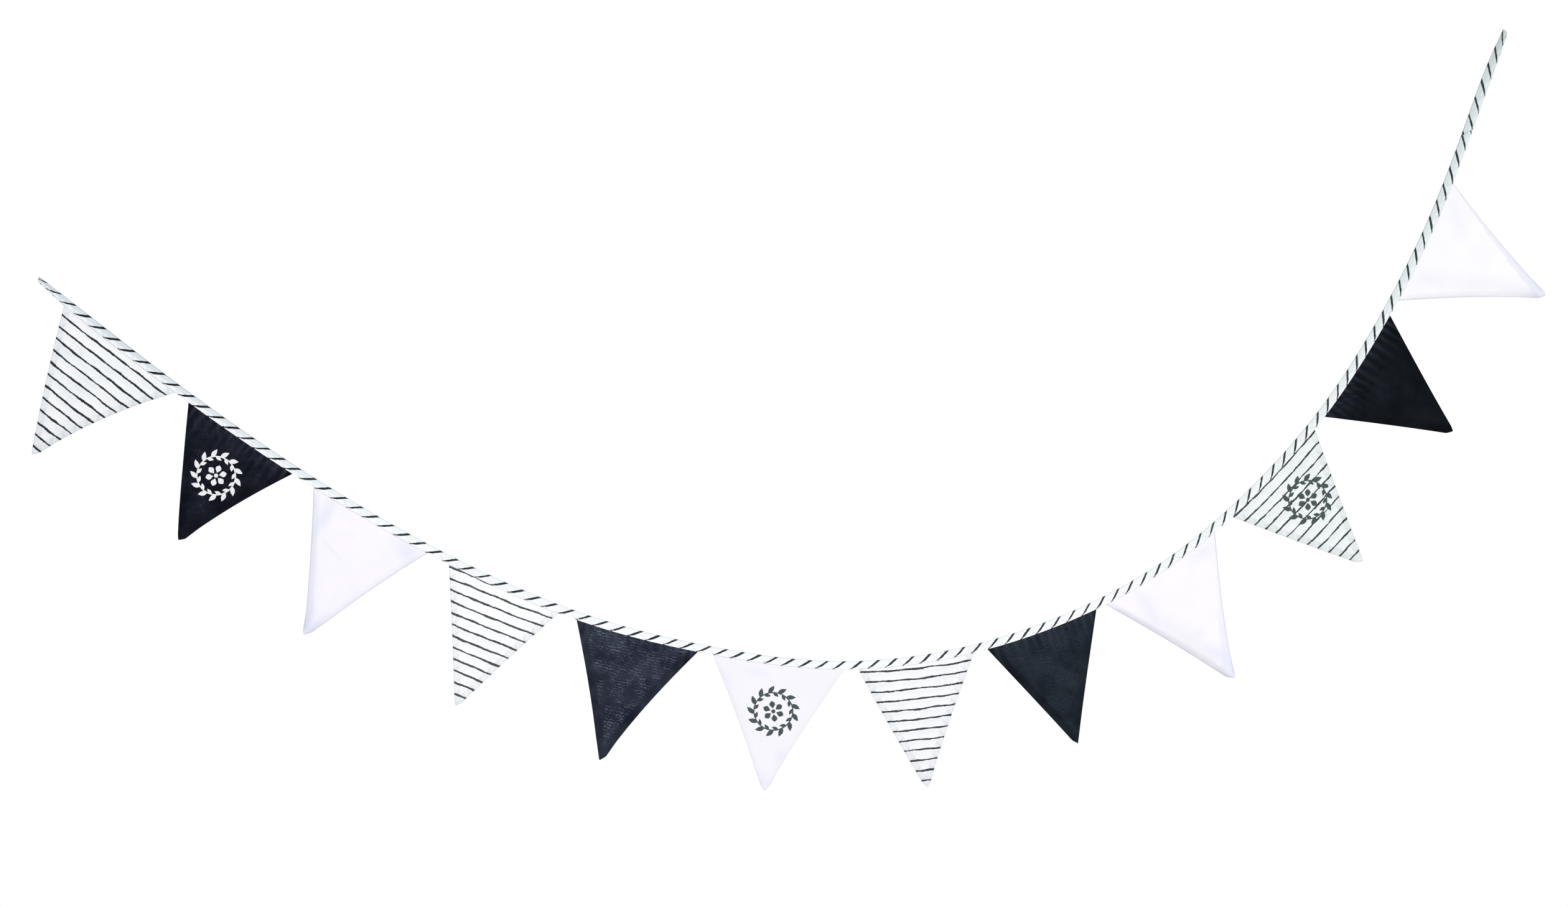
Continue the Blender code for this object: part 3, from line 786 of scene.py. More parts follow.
def pennant_middle(number, share, from_low):
    """Points of the middle of a pennant's cloth, at shares of its drop and ways from its side.

    A point lies on the chord between the two corners, moved square to it by its share of the
    drop. What parts the chord from the tape's curve fades down the drop.
    """
    pennant = PENNANTS[number - 1]
    drop = pennant.drop * MM
    corners = (pennant.start + np.array([0.0, pennant.base])) * MM
    low, high = pennant_sides(pennant, share)
    across = low + from_low
    along = corners[0] + across
    on_edge = tape_point(along, tape_width(along), 0.0)
    first, last = tape_point(corners, tape_width(corners), 0.0)
    chord = (last - first) / math.dist(first[[0, 2]], last[[0, 2]])
    square = np.array([chord[2], 0.0, -chord[0]])
    on_chord = first + across[..., None] * chord
    points = on_chord + (on_edge - on_chord) * ((1 - share) ** 2)[..., None]
    points += (share * drop)[..., None] * square
    from_high = high - low - from_low
    down = share * drop + 0 * across
    points[..., 1] += pennant_depth(pennant, share, from_low, from_high)
    points[..., 1] -= cloth_relief(number, across, down, from_low, from_high)
    return points, across, down


def pennant_grid(number):
    """The rows and columns of one pennant: shares of the drop, and ways from the low side.

    The columns stand close together in the rolled band along each seam, where the edge is
    round, and evenly in the middle.
    """
    share = SHARES_DOWN[:, None]
    low, high = pennant_sides(PENNANTS[number - 1], share)
    width = high - low
    band = np.minimum(ROLL_BAND, BAND_SHARE * width)
    rolled = BAND_SHARES * band
    middle = band + (width - 2 * band) * np.arange(1, MIDDLE_COLUMNS) / MIDDLE_COLUMNS
    return share, width, np.hstack([rolled, middle, width - rolled[:, ::-1]])


def allowance_wander(number, down):
    """How far the cut edge of a seam allowance wanders: two sines of the way down."""
    slow = 0.5 * MM * np.sin(down / (9 * MM) + number)
    fine = 0.4 * MM * np.sin(down / (3.7 * MM))
    return slow + fine


def cloth_thickness(number, share, width, from_low):
    """Round at the seamed edges, thick over the seam allowances, and thin in the middle.

    The round is a quarter circle of the way from the nearest edge. Returns the thickness, and
    the ways square to both sides.
    """
    pennant = PENNANTS[number - 1]
    down = share * pennant.drop * MM
    slopes = [np.gradient(side[:, 0], down[:, 0])[:, None] for side in pennant_sides(pennant, share)]
    gaps = [gap / np.hypot(1, slope) for gap, slope in zip((from_low, width - from_low), slopes)]
    side_gap = np.minimum(*gaps)
    inner = smooth_step((side_gap - ALLOWANCE - allowance_wander(number, down)) / ALLOWANCE_STEP)
    full = EDGE_THICK + (MIDDLE_THICK - EDGE_THICK) * inner
    gap = np.minimum(side_gap, (1 - share) * pennant.drop * MM)
    roundness = np.sqrt(1 - (1 - np.clip(gap / EDGE_RADIUS, 0, 1)) ** 2)
    return np.maximum(full * roundness, RIM_THICK), gaps


# Tints of each pennant's cloth. body: its middle; deep: over the seam allowances, and painted
# shade in folds, over rolled edges and at the tip; line: painted shade along the seamed edges.
Tints = namedtuple("Tints", "body deep line")
TINTS = {
    1: Tints("#e8eaec", "#ced3d9", "#9ea6ae"),
    2: Tints("#0e1018", "#0c0d15", "#06070b"),
    3: Tints("#ebe9f2", "#d3d6e8", "#aab3c6"),
    4: Tints("#f1f1f2", "#dbdee2", "#a9b2b9"),
    5: Tints("#1d212e", "#171b26", "#0b0e14"),
    6: Tints("#e8e6ed", "#dadced", "#b9c2d3"),
    7: Tints("#ebecee", "#dadce1", "#a9b2b9"),
    8: Tints("#181e25", "#12161c", "#0a0d11"),
    9: Tints("#edebf2", "#d3d6ea", "#a6b0c4"),
    10: Tints("#e7ebec", "#cdd4d5", "#9aa7a8"),
    11: Tints("#0c1015", "#0b0d12", "#06080a"),
    12: Tints("#eeedf2", "#d3d6e8", "#a6b1c2"),
}
# What shows beside each seam. band: how wide the allowance is, with the painted shade over the
# rolled edge; deep and line: how strong the two tints are, each at the tape and at the tip; soft: how
# wide the allowance's edge is.
# Widths are in millimetres. The first of a pair is the low side's seam.
SeamTint = namedtuple("SeamTint", "band deep line soft")
STRIPED_SEAM = SeamTint((9.5, 10), (0.3, 0.4), (0.3, 0.3), 3)
NAVY_SEAM = SeamTint((11.5, 12.5), (0.9, 0.9), (0.7, 0.8), 3)
SEAM_TINTS = {
    "striped": (STRIPED_SEAM, STRIPED_SEAM),
    "navy": (NAVY_SEAM, NAVY_SEAM),
    3: (SeamTint((8, 12), (0.3, 0.5), (0.7, 0.5), 9), SeamTint((6, 8), (0.2, 0.4), (0.5, 0.6), 8)),
    6: (SeamTint((4, 3), (0.15, 0.3), (0.2, 0.25), 4), SeamTint((3, 2), (0.1, 0.2), (0.12, 0.25), 4)),
    8: (NAVY_SEAM, SeamTint((5, 7), (0.2, 0.4), (0.5, 0.8), 4)),
    9: (SeamTint((7, 6), (0.35, 0.25), (0.6, 0.5), 5), SeamTint((-4, 18), (0.2, 0.35), (0.6, 0.5), 8)),
    12: (SeamTint((6, 5), (0.1, 0.2), (0.7, 0.3), 4), SeamTint((0, 16), (0.25, 0.4), (0.4, 0.5), 1.5)),
}
WIDEST_BAND = 16.0
GATHER_HIGHLIGHT = "#4a5060"      # painted highlight on the tops of the gathers in navy cloth
GATHER_HIGHLIGHT_SHOW = 0.3
# The painted shade line along the seamed edges is about this wide.
EDGE_LINE = 1.3 * MM


def pennant_tint(number, share, across, down, gaps):
    """The cloth's colour: its body, deeper by the seams, with painted shade in folds and a painted shade
    line at the edges.

    A band ends over a soft step at its width, and an edge line is a hump of the way from it.
    """
    cloth = PENNANTS[number - 1].cloth
    seams = SEAM_TINTS[number if number in SEAM_TINTS else cloth]
    deep, line = np.zeros_like(across), np.zeros_like(across)
    for seam, gap in zip(seams, gaps):
        width, depth, edge = (top + (tip - top) * share for top, tip in (seam.band, seam.deep, seam.line))
        width, soft = np.clip(width, 0, WIDEST_BAND) * MM, seam.soft * MM
        band = smooth_step((width + allowance_wander(number, down) - gap) / soft + 0.5)
        deep = np.maximum(deep, depth * (band * np.minimum(width / soft, 1)))
        line = np.maximum(line, edge * hump(gap / EDGE_LINE))
    # Painted shade along the folds and at the tips.
    deep = deep + sum(crease.deep * near_line(crease, across, down) for crease in CREASES[number])
    look = TINTS[number]
    colour = np.broadcast_to(linear(look.body), across.shape + (3,))
    colour = tinted(tinted(colour, look.deep, np.clip(deep, 0, 1)), look.line, line)
    # Navy cloth gets a painted highlight on the tops of its gathers.
    if cloth == "navy":
        colour = tinted(colour, GATHER_HIGHLIGHT, GATHER_HIGHLIGHT_SHOW * np.maximum(gathers(number, across, down), 0))
    return colour


# Brushed lines. first: way down from the tape to the first line; pitch: from line to line;
# each at the low and at the high side, in millimetres.
Lines = namedtuple("Lines", "first_low first_high pitch_low pitch_high")
LINES = {
    1: Lines(12.0, 10.5, 16.1, 16.1),
    4: Lines(2.4, -6.0, 15.12, 15.7),
    7: Lines(4.6, 9.6, 15.25, 15.0),
    10: Lines(1.5, 1.0, 15.05, 15.1),
}
LINE_PITCH = 15.3 * MM


def line_way(number, across, down):
    """The way down in steps of one brushed line: at whole pitches a line crosses the cloth."""
    lines = np.array(LINES[number]) * MM
    side = across / (PENNANTS[number - 1].base * MM)
    first = lines[0] + (lines[1] - lines[0]) * side
    pitch = lines[2] + (lines[3] - lines[2]) * side
    return (down - first) / pitch * LINE_PITCH


def in_seam(number, across, down):
    """Each point mirrored in the nearer of the two seamed sides, drawn as straight lines.

    That is the place on the cloth of what lies behind it in the seam allowance. It lies twice
    the point's distance away, square to the side.
    """
    pennant = PENNANTS[number - 1]
    low, high = pennant_sides(pennant, 1.0)
    gaps, mirrored = [], []
    for corner, end, inward in ((0.0, low, 1.0), (pennant.base * MM, high, -1.0)):
        slope = (end - corner) / (pennant.drop * MM)
        steepness = math.hypot(1, slope)
        gap = inward * (across - corner - slope * down) / steepness
        twice = 2 * gap * inward / steepness
        gaps.append(gap)
        mirrored.append((across - twice, down + slope * twice))
    return np.where(gaps[0] < gaps[1], *mirrored)


# The noises that the colours are drawn with are read from another place for each pennant.
CLOTH_APART = 0.4


def add_pennant(number, material):
    """One pennant, its top edge inside the tape, with its tint and its maps.

    The maps are: across and down in metres; the way to the nearest seam; and the brushed
    lines, its own and those in the seam allowance behind it. Returns the piece and its area.
    """
    pennant = PENNANTS[number - 1]
    share, width, from_low = pennant_grid(number)
    below, across, down = pennant_middle(number, share, from_low)
    thickness, gaps = cloth_thickness(number, share, width, from_low)

    up = np.linspace(TOP_TURN, 0, INSIDE_ROWS + 1)[:-1, None]
    along = pennant.start * MM + across[:1]
    inside = tape_point(along + 0 * up, tape_width(along) - up, 0.0)
    middle = np.concatenate([inside, below])

    def with_inside(values, step=0.0):
        """Values for the rows inside the tape too: the first row's, less a step for each way up."""
        return np.concatenate([values[:1] - step * up, values])

    points, faces = closed_sheet(*sheet_sides(middle, with_inside(thickness)))
    node = "pennant_{:02d}_{}".format(number, pennant.cloth)
    cloth = add_piece(node + "_cloth", points, faces, material, pennant.cloth + "_cotton")
    across, down, share = with_inside(across), with_inside(down, 1.0), with_inside(share)
    gaps = [with_inside(gap) for gap in gaps]
    add_tint(cloth, "Tint", pennant_tint(number, share, across, down, gaps))
    cloth_map(cloth, "Cloth", faces, across + number * CLOTH_APART, down)
    nearest = np.minimum(*gaps)
    if number in LINES:
        cloth_map(cloth, "Seams", faces, nearest, line_way(number, *in_seam(number, across, down)))
        cloth_map(cloth, "Lines", faces, across, line_way(number, across, down))
    elif pennant.cloth == "navy":
        cloth_map(cloth, "Seams", faces, nearest, down)
    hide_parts(node)
    steps = np.diff(share[INSIDE_ROWS:], axis=0) * pennant.drop * MM
    strips = (width[1:] + width[:-1]) / 2 * steps
    return cloth, float(strips.sum()) + pennant.base * MM * TOP_TURN


# ---------------------------------------------------------------- the printed wreath

# A plain wreath of leaves around a flower: a shape of the print's size and colours alone.
WREATHS = {2: (93, 64), 6: (95.5, 70), 10: (92.5, 61)}    # pennant: its middle, across and down
INK_THICK = 0.1 * MM
STEM_RADIUS = 28.0 * MM
STEM_WIDTH = 1.7 * MM
STEM_LIFT = 0.04 * MM        # the stem lies this far over the ends of the leaves
WREATH_LEAVES = 13
WREATH_LEAF = (14.0 * MM, 6.6 * MM)    # length and width
INNER_LEAF = 0.72            # the size of the leaves inside the stem
LEAF_LEAN = math.radians(38)
LEAF_POWER = 0.85            # it is widest near its start, and a petal near its end
PETALS = 6
PETAL = (11.5 * MM, 8.4 * MM)
PETAL_FROM = 4.2 * MM
PETAL_POWER = 1.25
FLOWER_HEART = 3.0 * MM
HEART_MIDDLE = 0.05 * MM     # a pinhole closes to this radius
POINT_WIDTH = 0.02 * MM      # what is left of half the width at the two ends of a leaf
BLADE_GRID = (13, 5)         # points along and across a leaf or petal
STEM_POINTS = 72
HEART_POINTS = 24


def blade(start, heading, length, width, power):
    """A leaf or petal on a flat grid: its middle line runs along its heading.

    Its half width at a share t of the length is the sine of pi times t to a power, so a
    power under 1 puts the widest place near the start and one above 1 near the end.
    """
    along, aside = BLADE_GRID
    share, side = np.meshgrid(np.linspace(0, 1, along), np.linspace(-1, 1, aside), indexing="ij")
    half = width / 2 * np.sin(math.pi * share ** power) + POINT_WIDTH
    forward = np.array([math.cos(heading), math.sin(heading)])
    sideways = np.array([forward[1], -forward[0]])
    return start + (share * length)[..., None] * forward + (side * half)[..., None] * sideways


def ring(inner, outer, count):
    """A ring on a flat grid: one full turn around, and from the inner radius to the outer."""
    angle, radius = np.meshgrid(np.linspace(0, 2 * math.pi, count), (inner, outer), indexing="ij")
    return np.stack([radius * np.cos(angle), radius * np.sin(angle)], -1)


def wreath_shapes():
    """The flat grids of the wreath, each with its lift: the stem lies over the leaves' ends."""
    stem = ring(STEM_RADIUS - STEM_WIDTH / 2, STEM_RADIUS + STEM_WIDTH / 2, STEM_POINTS)
    shapes = [(stem, STEM_LIFT), (ring(HEART_MIDDLE, FLOWER_HEART, HEART_POINTS), 0.0)]
    for i in range(WREATH_LEAVES):
        for outward, offset, size in ((1, 0.0, 1.0), (-1, 0.5, INNER_LEAF)):
            angle = 2 * math.pi * (i + offset) / WREATH_LEAVES
            start = STEM_RADIUS * np.array([math.cos(angle), math.sin(angle)])
            heading = angle + math.pi / 2 - outward * LEAF_LEAN
            length, width = (size * measure for measure in WREATH_LEAF)
            shapes.append((blade(start, heading, length, width, LEAF_POWER), 0.0))
    for i in range(PETALS):
        angle = 2 * math.pi * (i + 0.25) / PETALS
        start = PETAL_FROM * np.array([math.cos(angle), math.sin(angle)])
        shapes.append((blade(start, angle, *PETAL, PETAL_POWER), 0.0))
    return shapes


def add_wreath(number, material):
    """The wreath as a thin layer of ink that follows the front of its pennant."""
    pennant = PENNANTS[number - 1]
    centre = np.array(WREATHS[number]) * MM
    parts = []
    for shape, lift in wreath_shapes():
        across, down = centre[0] + shape[..., 0], centre[1] + shape[..., 1]
        share = down / (pennant.drop * MM)
        low, _ = pennant_sides(pennant, share)
        middle, _, _ = pennant_middle(number, share, across - low)
        lifted = middle - [0, (MIDDLE_THICK + INK_THICK) / 2 + lift, 0]
        parts.append(closed_sheet(*sheet_sides(lifted, np.full(down.shape, INK_THICK))))
    name = "wreath_print_{:02d}".format(number)
    return add_piece(name, *joined(parts), material, pennant.cloth + "_cotton", smooth=False)


# ---------------------------------------------------------------- materials

def add(tree, kind, inputs, **properties):
    """Add a shader node with its properties, and its inputs as values or links. Returns its
    outputs.

    Inputs go by name or by number. A Map Range turns the range of its 1 and 2 into that of its
    3 and 4, and a Mix of colours goes from its 6 to its 7 by the share in 0.
    """
    node = tree.nodes.new("ShaderNode" + kind)
    for name, value in properties.items():
        setattr(node, name, value)
    for name, value in inputs.items() if isinstance(inputs, dict) else enumerate(inputs):
        if isinstance(value, bpy.types.NodeSocket):
            tree.links.new(value, node.inputs[name])
        else:
            node.inputs[name].default_value = value
    return node.outputs


def rgba(colour):
    """An sRGB hex colour as a shader's four linear numbers."""
    return (*linear(colour).tolist(), 1.0)


def new_finish(name, roughness, specular, sheen):
    """A material with a matt shader: little gloss, and the sheen of the cloth's loose fibres."""
    material = bpy.data.materials.new(name)
    material.use_nodes = True
    shader = material.node_tree.nodes["Principled BSDF"]
    shader.inputs["Roughness"].default_value = roughness
    shader.inputs["Specular IOR Level"].default_value = specular
    shader.inputs["Sheen Weight"].default_value = sheen
    shader.inputs["Sheen Roughness"].default_value = 0.6
    return material, material.node_tree


def dyed(material, colour, height, relief):
    """The material with its colour, and its surface raised by the relief where height is 1."""
    tree = material.node_tree
    shader = tree.nodes["Principled BSDF"]
    tree.links.new(colour, shader.inputs["Base Color"])
    raised = add(tree, "Bump", {"Height": height, "Strength": 0.6, "Distance": relief})[0]
    tree.links.new(raised, shader.inputs["Normal"])
    return material


THREAD_PITCH = 0.55 * MM     # real threads lie 0.3 mm apart, too fine to show: drawn coarser
WAVE_TURN = 2 * math.pi / 20    # a wave texture's bands repeat each this over its scale
WEAVE_RELIEF = 0.08 * MM
VOILE_RELIEF = 0.1 * MM
THREAD_RELIEF = 0.06 * MM
INK_RELIEF = 0.04 * MM

# Scales of the noises: the patches of one of scale n are about 1000/n mm wide.
CLOUDS = 30.0                # 33 mm: patches of painted shade on white cloth, and of uneven tone on navy
SWELLS = 60.0                # 17 mm: how a stripe swells
RAGS = 380.0                 # 2.6 mm: its ragged edges
SPECKS = 600.0               # 1.7 mm: where the dry brush left less ink
SWAYS = 34.0                 # 29 mm: how a brushed line sways
BENDS = 24.0                 # 42 mm: how the rows of flecks bend
WIGGLES = 230.0              # 4.3 mm
FLECK_PATCHES = 65.0         # 15 mm: where there are flecks
FLECK_BREAKS = 520.0         # 1.9 mm: how long a fleck is
PLIES = 2400.0               # 0.4 mm: the twist of the sewing thread
INK_PATCHES = 180.0          # 6 mm: where the weave takes less of the ink
INK_GRAIN = 1500.0           # 0.7 mm


def weave(tree, place):
    """Height of a plain weave: two crossing sets of bands, one over the other."""
    warp, weft = (add(tree, "TexWave", {"Vector": place, "Scale": WAVE_TURN / THREAD_PITCH},
                      bands_direction=way)["Fac"] for way in "XY")
    return add(tree, "Math", [warp, weft], operation="MULTIPLY")[0]


def cloudy(tree, place, other, most):
    """The cloth's tint, which goes a little to another colour in soft patches: painted shade on white
    cloth, uneven tone on navy.
    """
    tint = add(tree, "Attribute", [], attribute_name="Tint")["Color"]
    patches = add(tree, "TexNoise", {"Vector": place, "Scale": CLOUDS, "Detail": 3.0})["Fac"]
    share = add(tree, "MapRange", {"Value": patches, 1: 0.38, 2: 0.66, 3: 0.0, 4: most})[0]
    return add(tree, "Mix", {0: share, 6: tint, 7: rgba(other)}, data_type="RGBA")[2]


STRIPE_EDGE = 0.3 * MM       # how soft a stripe's edge is
SPECK_COVER = 0.98           # how much ink is left in a speck


def stripes(tree, way, place, pitch, width, swell, rags, taper=0.0):
    """1 on the stripes that lie at whole pitches of a way, and 0 between them.

    The way to the nearest stripe's middle is set against half the width, which two noises
    make uneven: a slow one by the swell, and a fine one at the edges by the rags. Where there
    is a taper, each side draws in by it. Inside, the dry brush leaves the ink a little thin in
    specks.
    """
    gap = add(tree, "Math", [way, pitch / 2], operation="PINGPONG")[0]
    gap = add(tree, "Math", [gap, taper], operation="ADD")[0]
    slow = add(tree, "TexNoise", {"Vector": place, "Scale": SWELLS, "Detail": 1.0})["Fac"]
    fine = add(tree, "TexNoise", {"Vector": place, "Scale": RAGS, "Detail": 3.0})["Fac"]
    gap = add(tree, "Math", [slow, swell, gap], operation="MULTIPLY_ADD")[0]
    gap = add(tree, "Math", [fine, rags, gap], operation="MULTIPLY_ADD")[0]
    edge = (width + swell + rags) / 2
    drawn = add(tree, "MapRange", {"Value": gap, 1: edge - STRIPE_EDGE / 2, 2: edge + STRIPE_EDGE / 2,
                                   3: 1.0, 4: 0.0})[0]
    specks = add(tree, "TexNoise", {"Vector": place, "Scale": SPECKS, "Detail": 3.0})["Fac"]
    cover = add(tree, "MapRange", {"Value": specks, 1: 0.4, 2: 0.65, 3: 1.0, 4: SPECK_COVER})[0]
    return add(tree, "Math", [drawn, cover], operation="MULTIPLY")[0]


def show_through(tree, way, pitch, width, soft, strength):
    """Stripes of a layer of cloth behind: soft at the edges, and as strong as given."""
    gap = add(tree, "Math", [way, pitch / 2], operation="PINGPONG")[0]
    return add(tree, "MapRange", {"Value": gap, 1: (width - soft) / 2, 2: (width + soft) / 2,
                                  3: strength, 4: 0.0}, interpolation_type="SMOOTHSTEP")[0]


def white_cotton(number):
    """Bleached plain-weave cotton: cool white, with bluer patches of painted shade."""
    name = "white_plain_weave_cotton_{:02d}".format(number)
    material, tree = new_finish(name, roughness=0.88, specular=0.2, sheen=0.06)
    place = add(tree, "UVMap", [], uv_map="Cloth")[0]
    colour = cloudy(tree, place, TINTS[number].deep, most=0.1)
    return dyed(material, colour, weave(tree, place), WEAVE_RELIEF)


# Brushed lines' ink, and their mean width in millimetres.
LINE_INKS = {1: ("#162026", 2.7), 4: ("#3d444a", 2.8), 7: ("#2f373e", 2.5), 10: ("#30393a", 2.3)}
LINE_SWELL = 2.2 * MM
LINE_RAGS = 1.9 * MM
LINE_WOBBLE = 4.2 * MM
SEAM_LINES_END = (8.0 * MM, 11.0 * MM)    # from the seam, where those behind it fade out
BACK_LINES_BELOW = 5.0 * MM


def striped_cotton(number):
    """White cotton with dry-brushed charcoal lines, which wobble, swell and thin out.

    The lines of the turned-in seam allowances show through beside the seams, and those of
    the back layer a little below each line.
    """
    ink, thickness = LINE_INKS[number]
    name = "brush_striped_cotton_{:02d}".format(number)
    material, tree = new_finish(name, roughness=0.88, specular=0.2, sheen=0.05)
    place = add(tree, "UVMap", [], uv_map="Cloth")[0]
    # Bluish-grey patches of painted shade.
    white = cloudy(tree, place, TINTS[number].deep, most=0.3)
    own = add(tree, "SeparateXYZ", [add(tree, "UVMap", [], uv_map="Lines")[0]])[1]
    gap, turned, _ = add(tree, "SeparateXYZ", [add(tree, "UVMap", [], uv_map="Seams")[0]])

    near, far = SEAM_LINES_END
    inside = add(tree, "MapRange", {"Value": gap, 1: near, 2: far, 3: 1.0, 4: 0.0})[0]
    ghosts = show_through(tree, turned, LINE_PITCH, width=4.0 * MM, soft=3.0 * MM, strength=0.12)
    ghosts = add(tree, "Math", [ghosts, inside], operation="MULTIPLY")[0]
    behind = add(tree, "Math", [own, -BACK_LINES_BELOW], operation="ADD")[0]
    behind = show_through(tree, behind, LINE_PITCH, width=4.0 * MM, soft=4.0 * MM, strength=0.05)
    ghosts = add(tree, "Math", [ghosts, behind], operation="MAXIMUM")[0]
    white = add(tree, "Mix", {0: ghosts, 6: white, 7: rgba(ink)}, data_type="RGBA")[2]

    sway = add(tree, "TexNoise", {"Vector": place, "Scale": SWAYS, "Detail": 2.0})["Fac"]
    own = add(tree, "Math", [sway, LINE_WOBBLE, own], operation="MULTIPLY_ADD")[0]
    own = add(tree, "Math", [own, LINE_WOBBLE / 2], operation="SUBTRACT")[0]
    lines = stripes(tree, own, place, LINE_PITCH, thickness * MM, LINE_SWELL, LINE_RAGS)
    colour = add(tree, "Mix", {0: lines, 6: white, 7: rgba(ink)}, data_type="RGBA")[2]
    return dyed(material, colour, weave(tree, place), WEAVE_RELIEF)


# Navy cotton. pale: the colour of its light flecks; show: how strong they are; pitch: from one
# row of them to the next, in millimetres; bend and wiggle: how far the rows wander, in
# millimetres; clouds: how far the whole cloth goes to the pale colour in patches; cover: how
# little of it has flecks.
Flecks = namedtuple("Flecks", "pale show pitch bend wiggle clouds cover")
FLECKS = {
    2: Flecks("#44495c", 0.6, 3.4, 8, 4.0, 0.1, 0.5),
    5: Flecks("#687082", 0.8, 4.2, 12, 6.0, 0.12, 0.42),
    8: Flecks("#4c5663", 0.36, 2.6, 9, 3.6, 0.1, 0.34),
    11: Flecks("#343b46", 0.2, 3.0, 8, 4.0, 0.1, 0.45),
}
FLECK_PATCH_EDGE = 0.18      # how softly a patch of flecks begins
FLECKS_FROM_SEAM = (9.0 * MM, 14.0 * MM)


def navy_cotton(number):
    """Yarn-dyed navy cotton voile: its two open weaves show pale flecks where they cross.

    The flecks lie in wandering rows, a sine of the way down, which are broken up and stand in
    patches. Over the seam allowances the cloth is dark.
    """
    flecks = FLECKS[number]
    name = "navy_cotton_voile_{:02d}".format(number)
    material, tree = new_finish(name, roughness=0.9, specular=0.02, sheen=0.006)
    place = add(tree, "UVMap", [], uv_map="Cloth")[0]
    gap = add(tree, "SeparateXYZ", [add(tree, "UVMap", [], uv_map="Seams")[0]])[0]
    down = add(tree, "SeparateXYZ", [place])[1]

    bend = add(tree, "TexNoise", {"Vector": place, "Scale": BENDS, "Detail": 1.0})["Fac"]
    wiggle = add(tree, "TexNoise", {"Vector": place, "Scale": WIGGLES, "Detail": 1.0})["Fac"]
    rows = add(tree, "Math", [bend, flecks.bend * MM, down], operation="MULTIPLY_ADD")[0]
    rows = add(tree, "Math", [wiggle, flecks.wiggle * MM, rows], operation="MULTIPLY_ADD")[0]
    rows = add(tree, "Math", [rows, 2 * math.pi / (flecks.pitch * MM)], operation="MULTIPLY")[0]
    rows = add(tree, "Math", [rows], operation="SINE")[0]
    rows = add(tree, "MapRange", {"Value": rows, 1: -0.2, 2: 1.0})[0]
    patches = add(tree, "TexNoise", {"Vector": place, "Scale": FLECK_PATCHES, "Detail": 2.0})["Fac"]
    patches = add(tree, "MapRange", {"Value": patches, 1: flecks.cover,
                                     2: flecks.cover + FLECK_PATCH_EDGE, 3: 0.12, 4: 1.0})[0]
    broken = add(tree, "TexNoise", {"Vector": place, "Scale": FLECK_BREAKS, "Detail": 4.0})["Fac"]
    broken = add(tree, "MapRange", {"Value": broken, 1: 0.42, 2: 0.62, 3: 0.05, 4: flecks.show})[0]
    near, far = FLECKS_FROM_SEAM
    inside = add(tree, "MapRange", {"Value": gap, 1: near, 2: far})[0]
    for share in (patches, broken, inside):
        rows = add(tree, "Math", [rows, share], operation="MULTIPLY")[0]
    body = cloudy(tree, place, flecks.pale, flecks.clouds)
    colour = add(tree, "Mix", {0: rows, 6: body, 7: rgba(flecks.pale)}, data_type="RGBA")[2]
    return dyed(material, colour, weave(tree, place), VOILE_RELIEF)


TAPE_STRIPE_WIDTH = 5.7 * MM    # along the tape, 3.4 mm square to the stripe
TAPE_STRIPE_SWELL = 2.2 * MM
TAPE_STRIPE_RAGS = 2.4 * MM
TAPE_STRIPE_TAPER = 1.1 * MM    # each side draws in by this towards a leaf's lower edge
TAPER_REACH = (0.3 * MM, 3.0 * MM)
HEM_SHOWS = (4.9 * MM, 5.9 * MM)    # above the lower edge, where the hem's stripes fade out
# Soft grey patches of painted shade over the tape's white.
TAPE_CLOUDS = "#c3cbd0"


def bias_tape_cotton(name):
    """White cotton cut on the bias, with dark stripes and soft patches of painted shade; its turned-in
    hem shows through.
    """
    material, tree = new_finish(name, roughness=0.88, specular=0.2, sheen=0.05)
    place = add(tree, "UVMap", [], uv_map="Cloth")[0]
    ink = add(tree, "Attribute", [], attribute_name="Ink")["Color"]
    slim = add(tree, "Attribute", [], attribute_name="Slim")["Fac"]
    along = add(tree, "SeparateXYZ", [place])[0]
    behind, above_edge, _ = add(tree, "SeparateXYZ", [add(tree, "UVMap", [], uv_map="Hem")[0]])

    near, far = HEM_SHOWS
    on_hem = add(tree, "MapRange", {"Value": above_edge, 1: near, 2: far, 3: 1.0, 4: 0.0})[0]
    ghost = show_through(tree, behind, STRIPE_PITCH, width=5.0 * MM, soft=3.5 * MM, strength=0.11)
    ghost = add(tree, "Math", [ghost, on_hem], operation="MULTIPLY")[0]
    white = cloudy(tree, place, TAPE_CLOUDS, most=0.18)
    white = add(tree, "Mix", {0: ghost, 6: white, 7: ink}, data_type="RGBA")[2]

    near, far = TAPER_REACH
    taper = add(tree, "MapRange", {"Value": above_edge, 1: near, 2: far,
                                   3: TAPE_STRIPE_TAPER, 4: 0.0})[0]
    taper = add(tree, "Math", [taper, slim], operation="ADD")[0]
    mask = stripes(tree, along, place, STRIPE_PITCH, TAPE_STRIPE_WIDTH,
                   TAPE_STRIPE_SWELL, TAPE_STRIPE_RAGS, taper)
    colour = add(tree, "Mix", {0: mask, 6: white, 7: ink}, data_type="RGBA")[2]
    return dyed(material, colour, weave(tree, place), WEAVE_RELIEF)


def sewing_thread():
    """Spun polyester thread: white, with the twist of its two plies."""
    material, tree = new_finish("white_sewing_thread", roughness=0.6, specular=0.3, sheen=0.1)
    place = add(tree, "TexCoord", [])["Object"]
    twist = add(tree, "TexNoise", {"Vector": place, "Scale": PLIES, "Detail": 1.0})["Fac"]
    colour = add(tree, "Mix", {0: twist, 6: rgba("#dfe2e4"), 7: rgba("#f2f3f4")}, data_type="RGBA")[2]
    return dyed(material, colour, twist, THREAD_RELIEF)


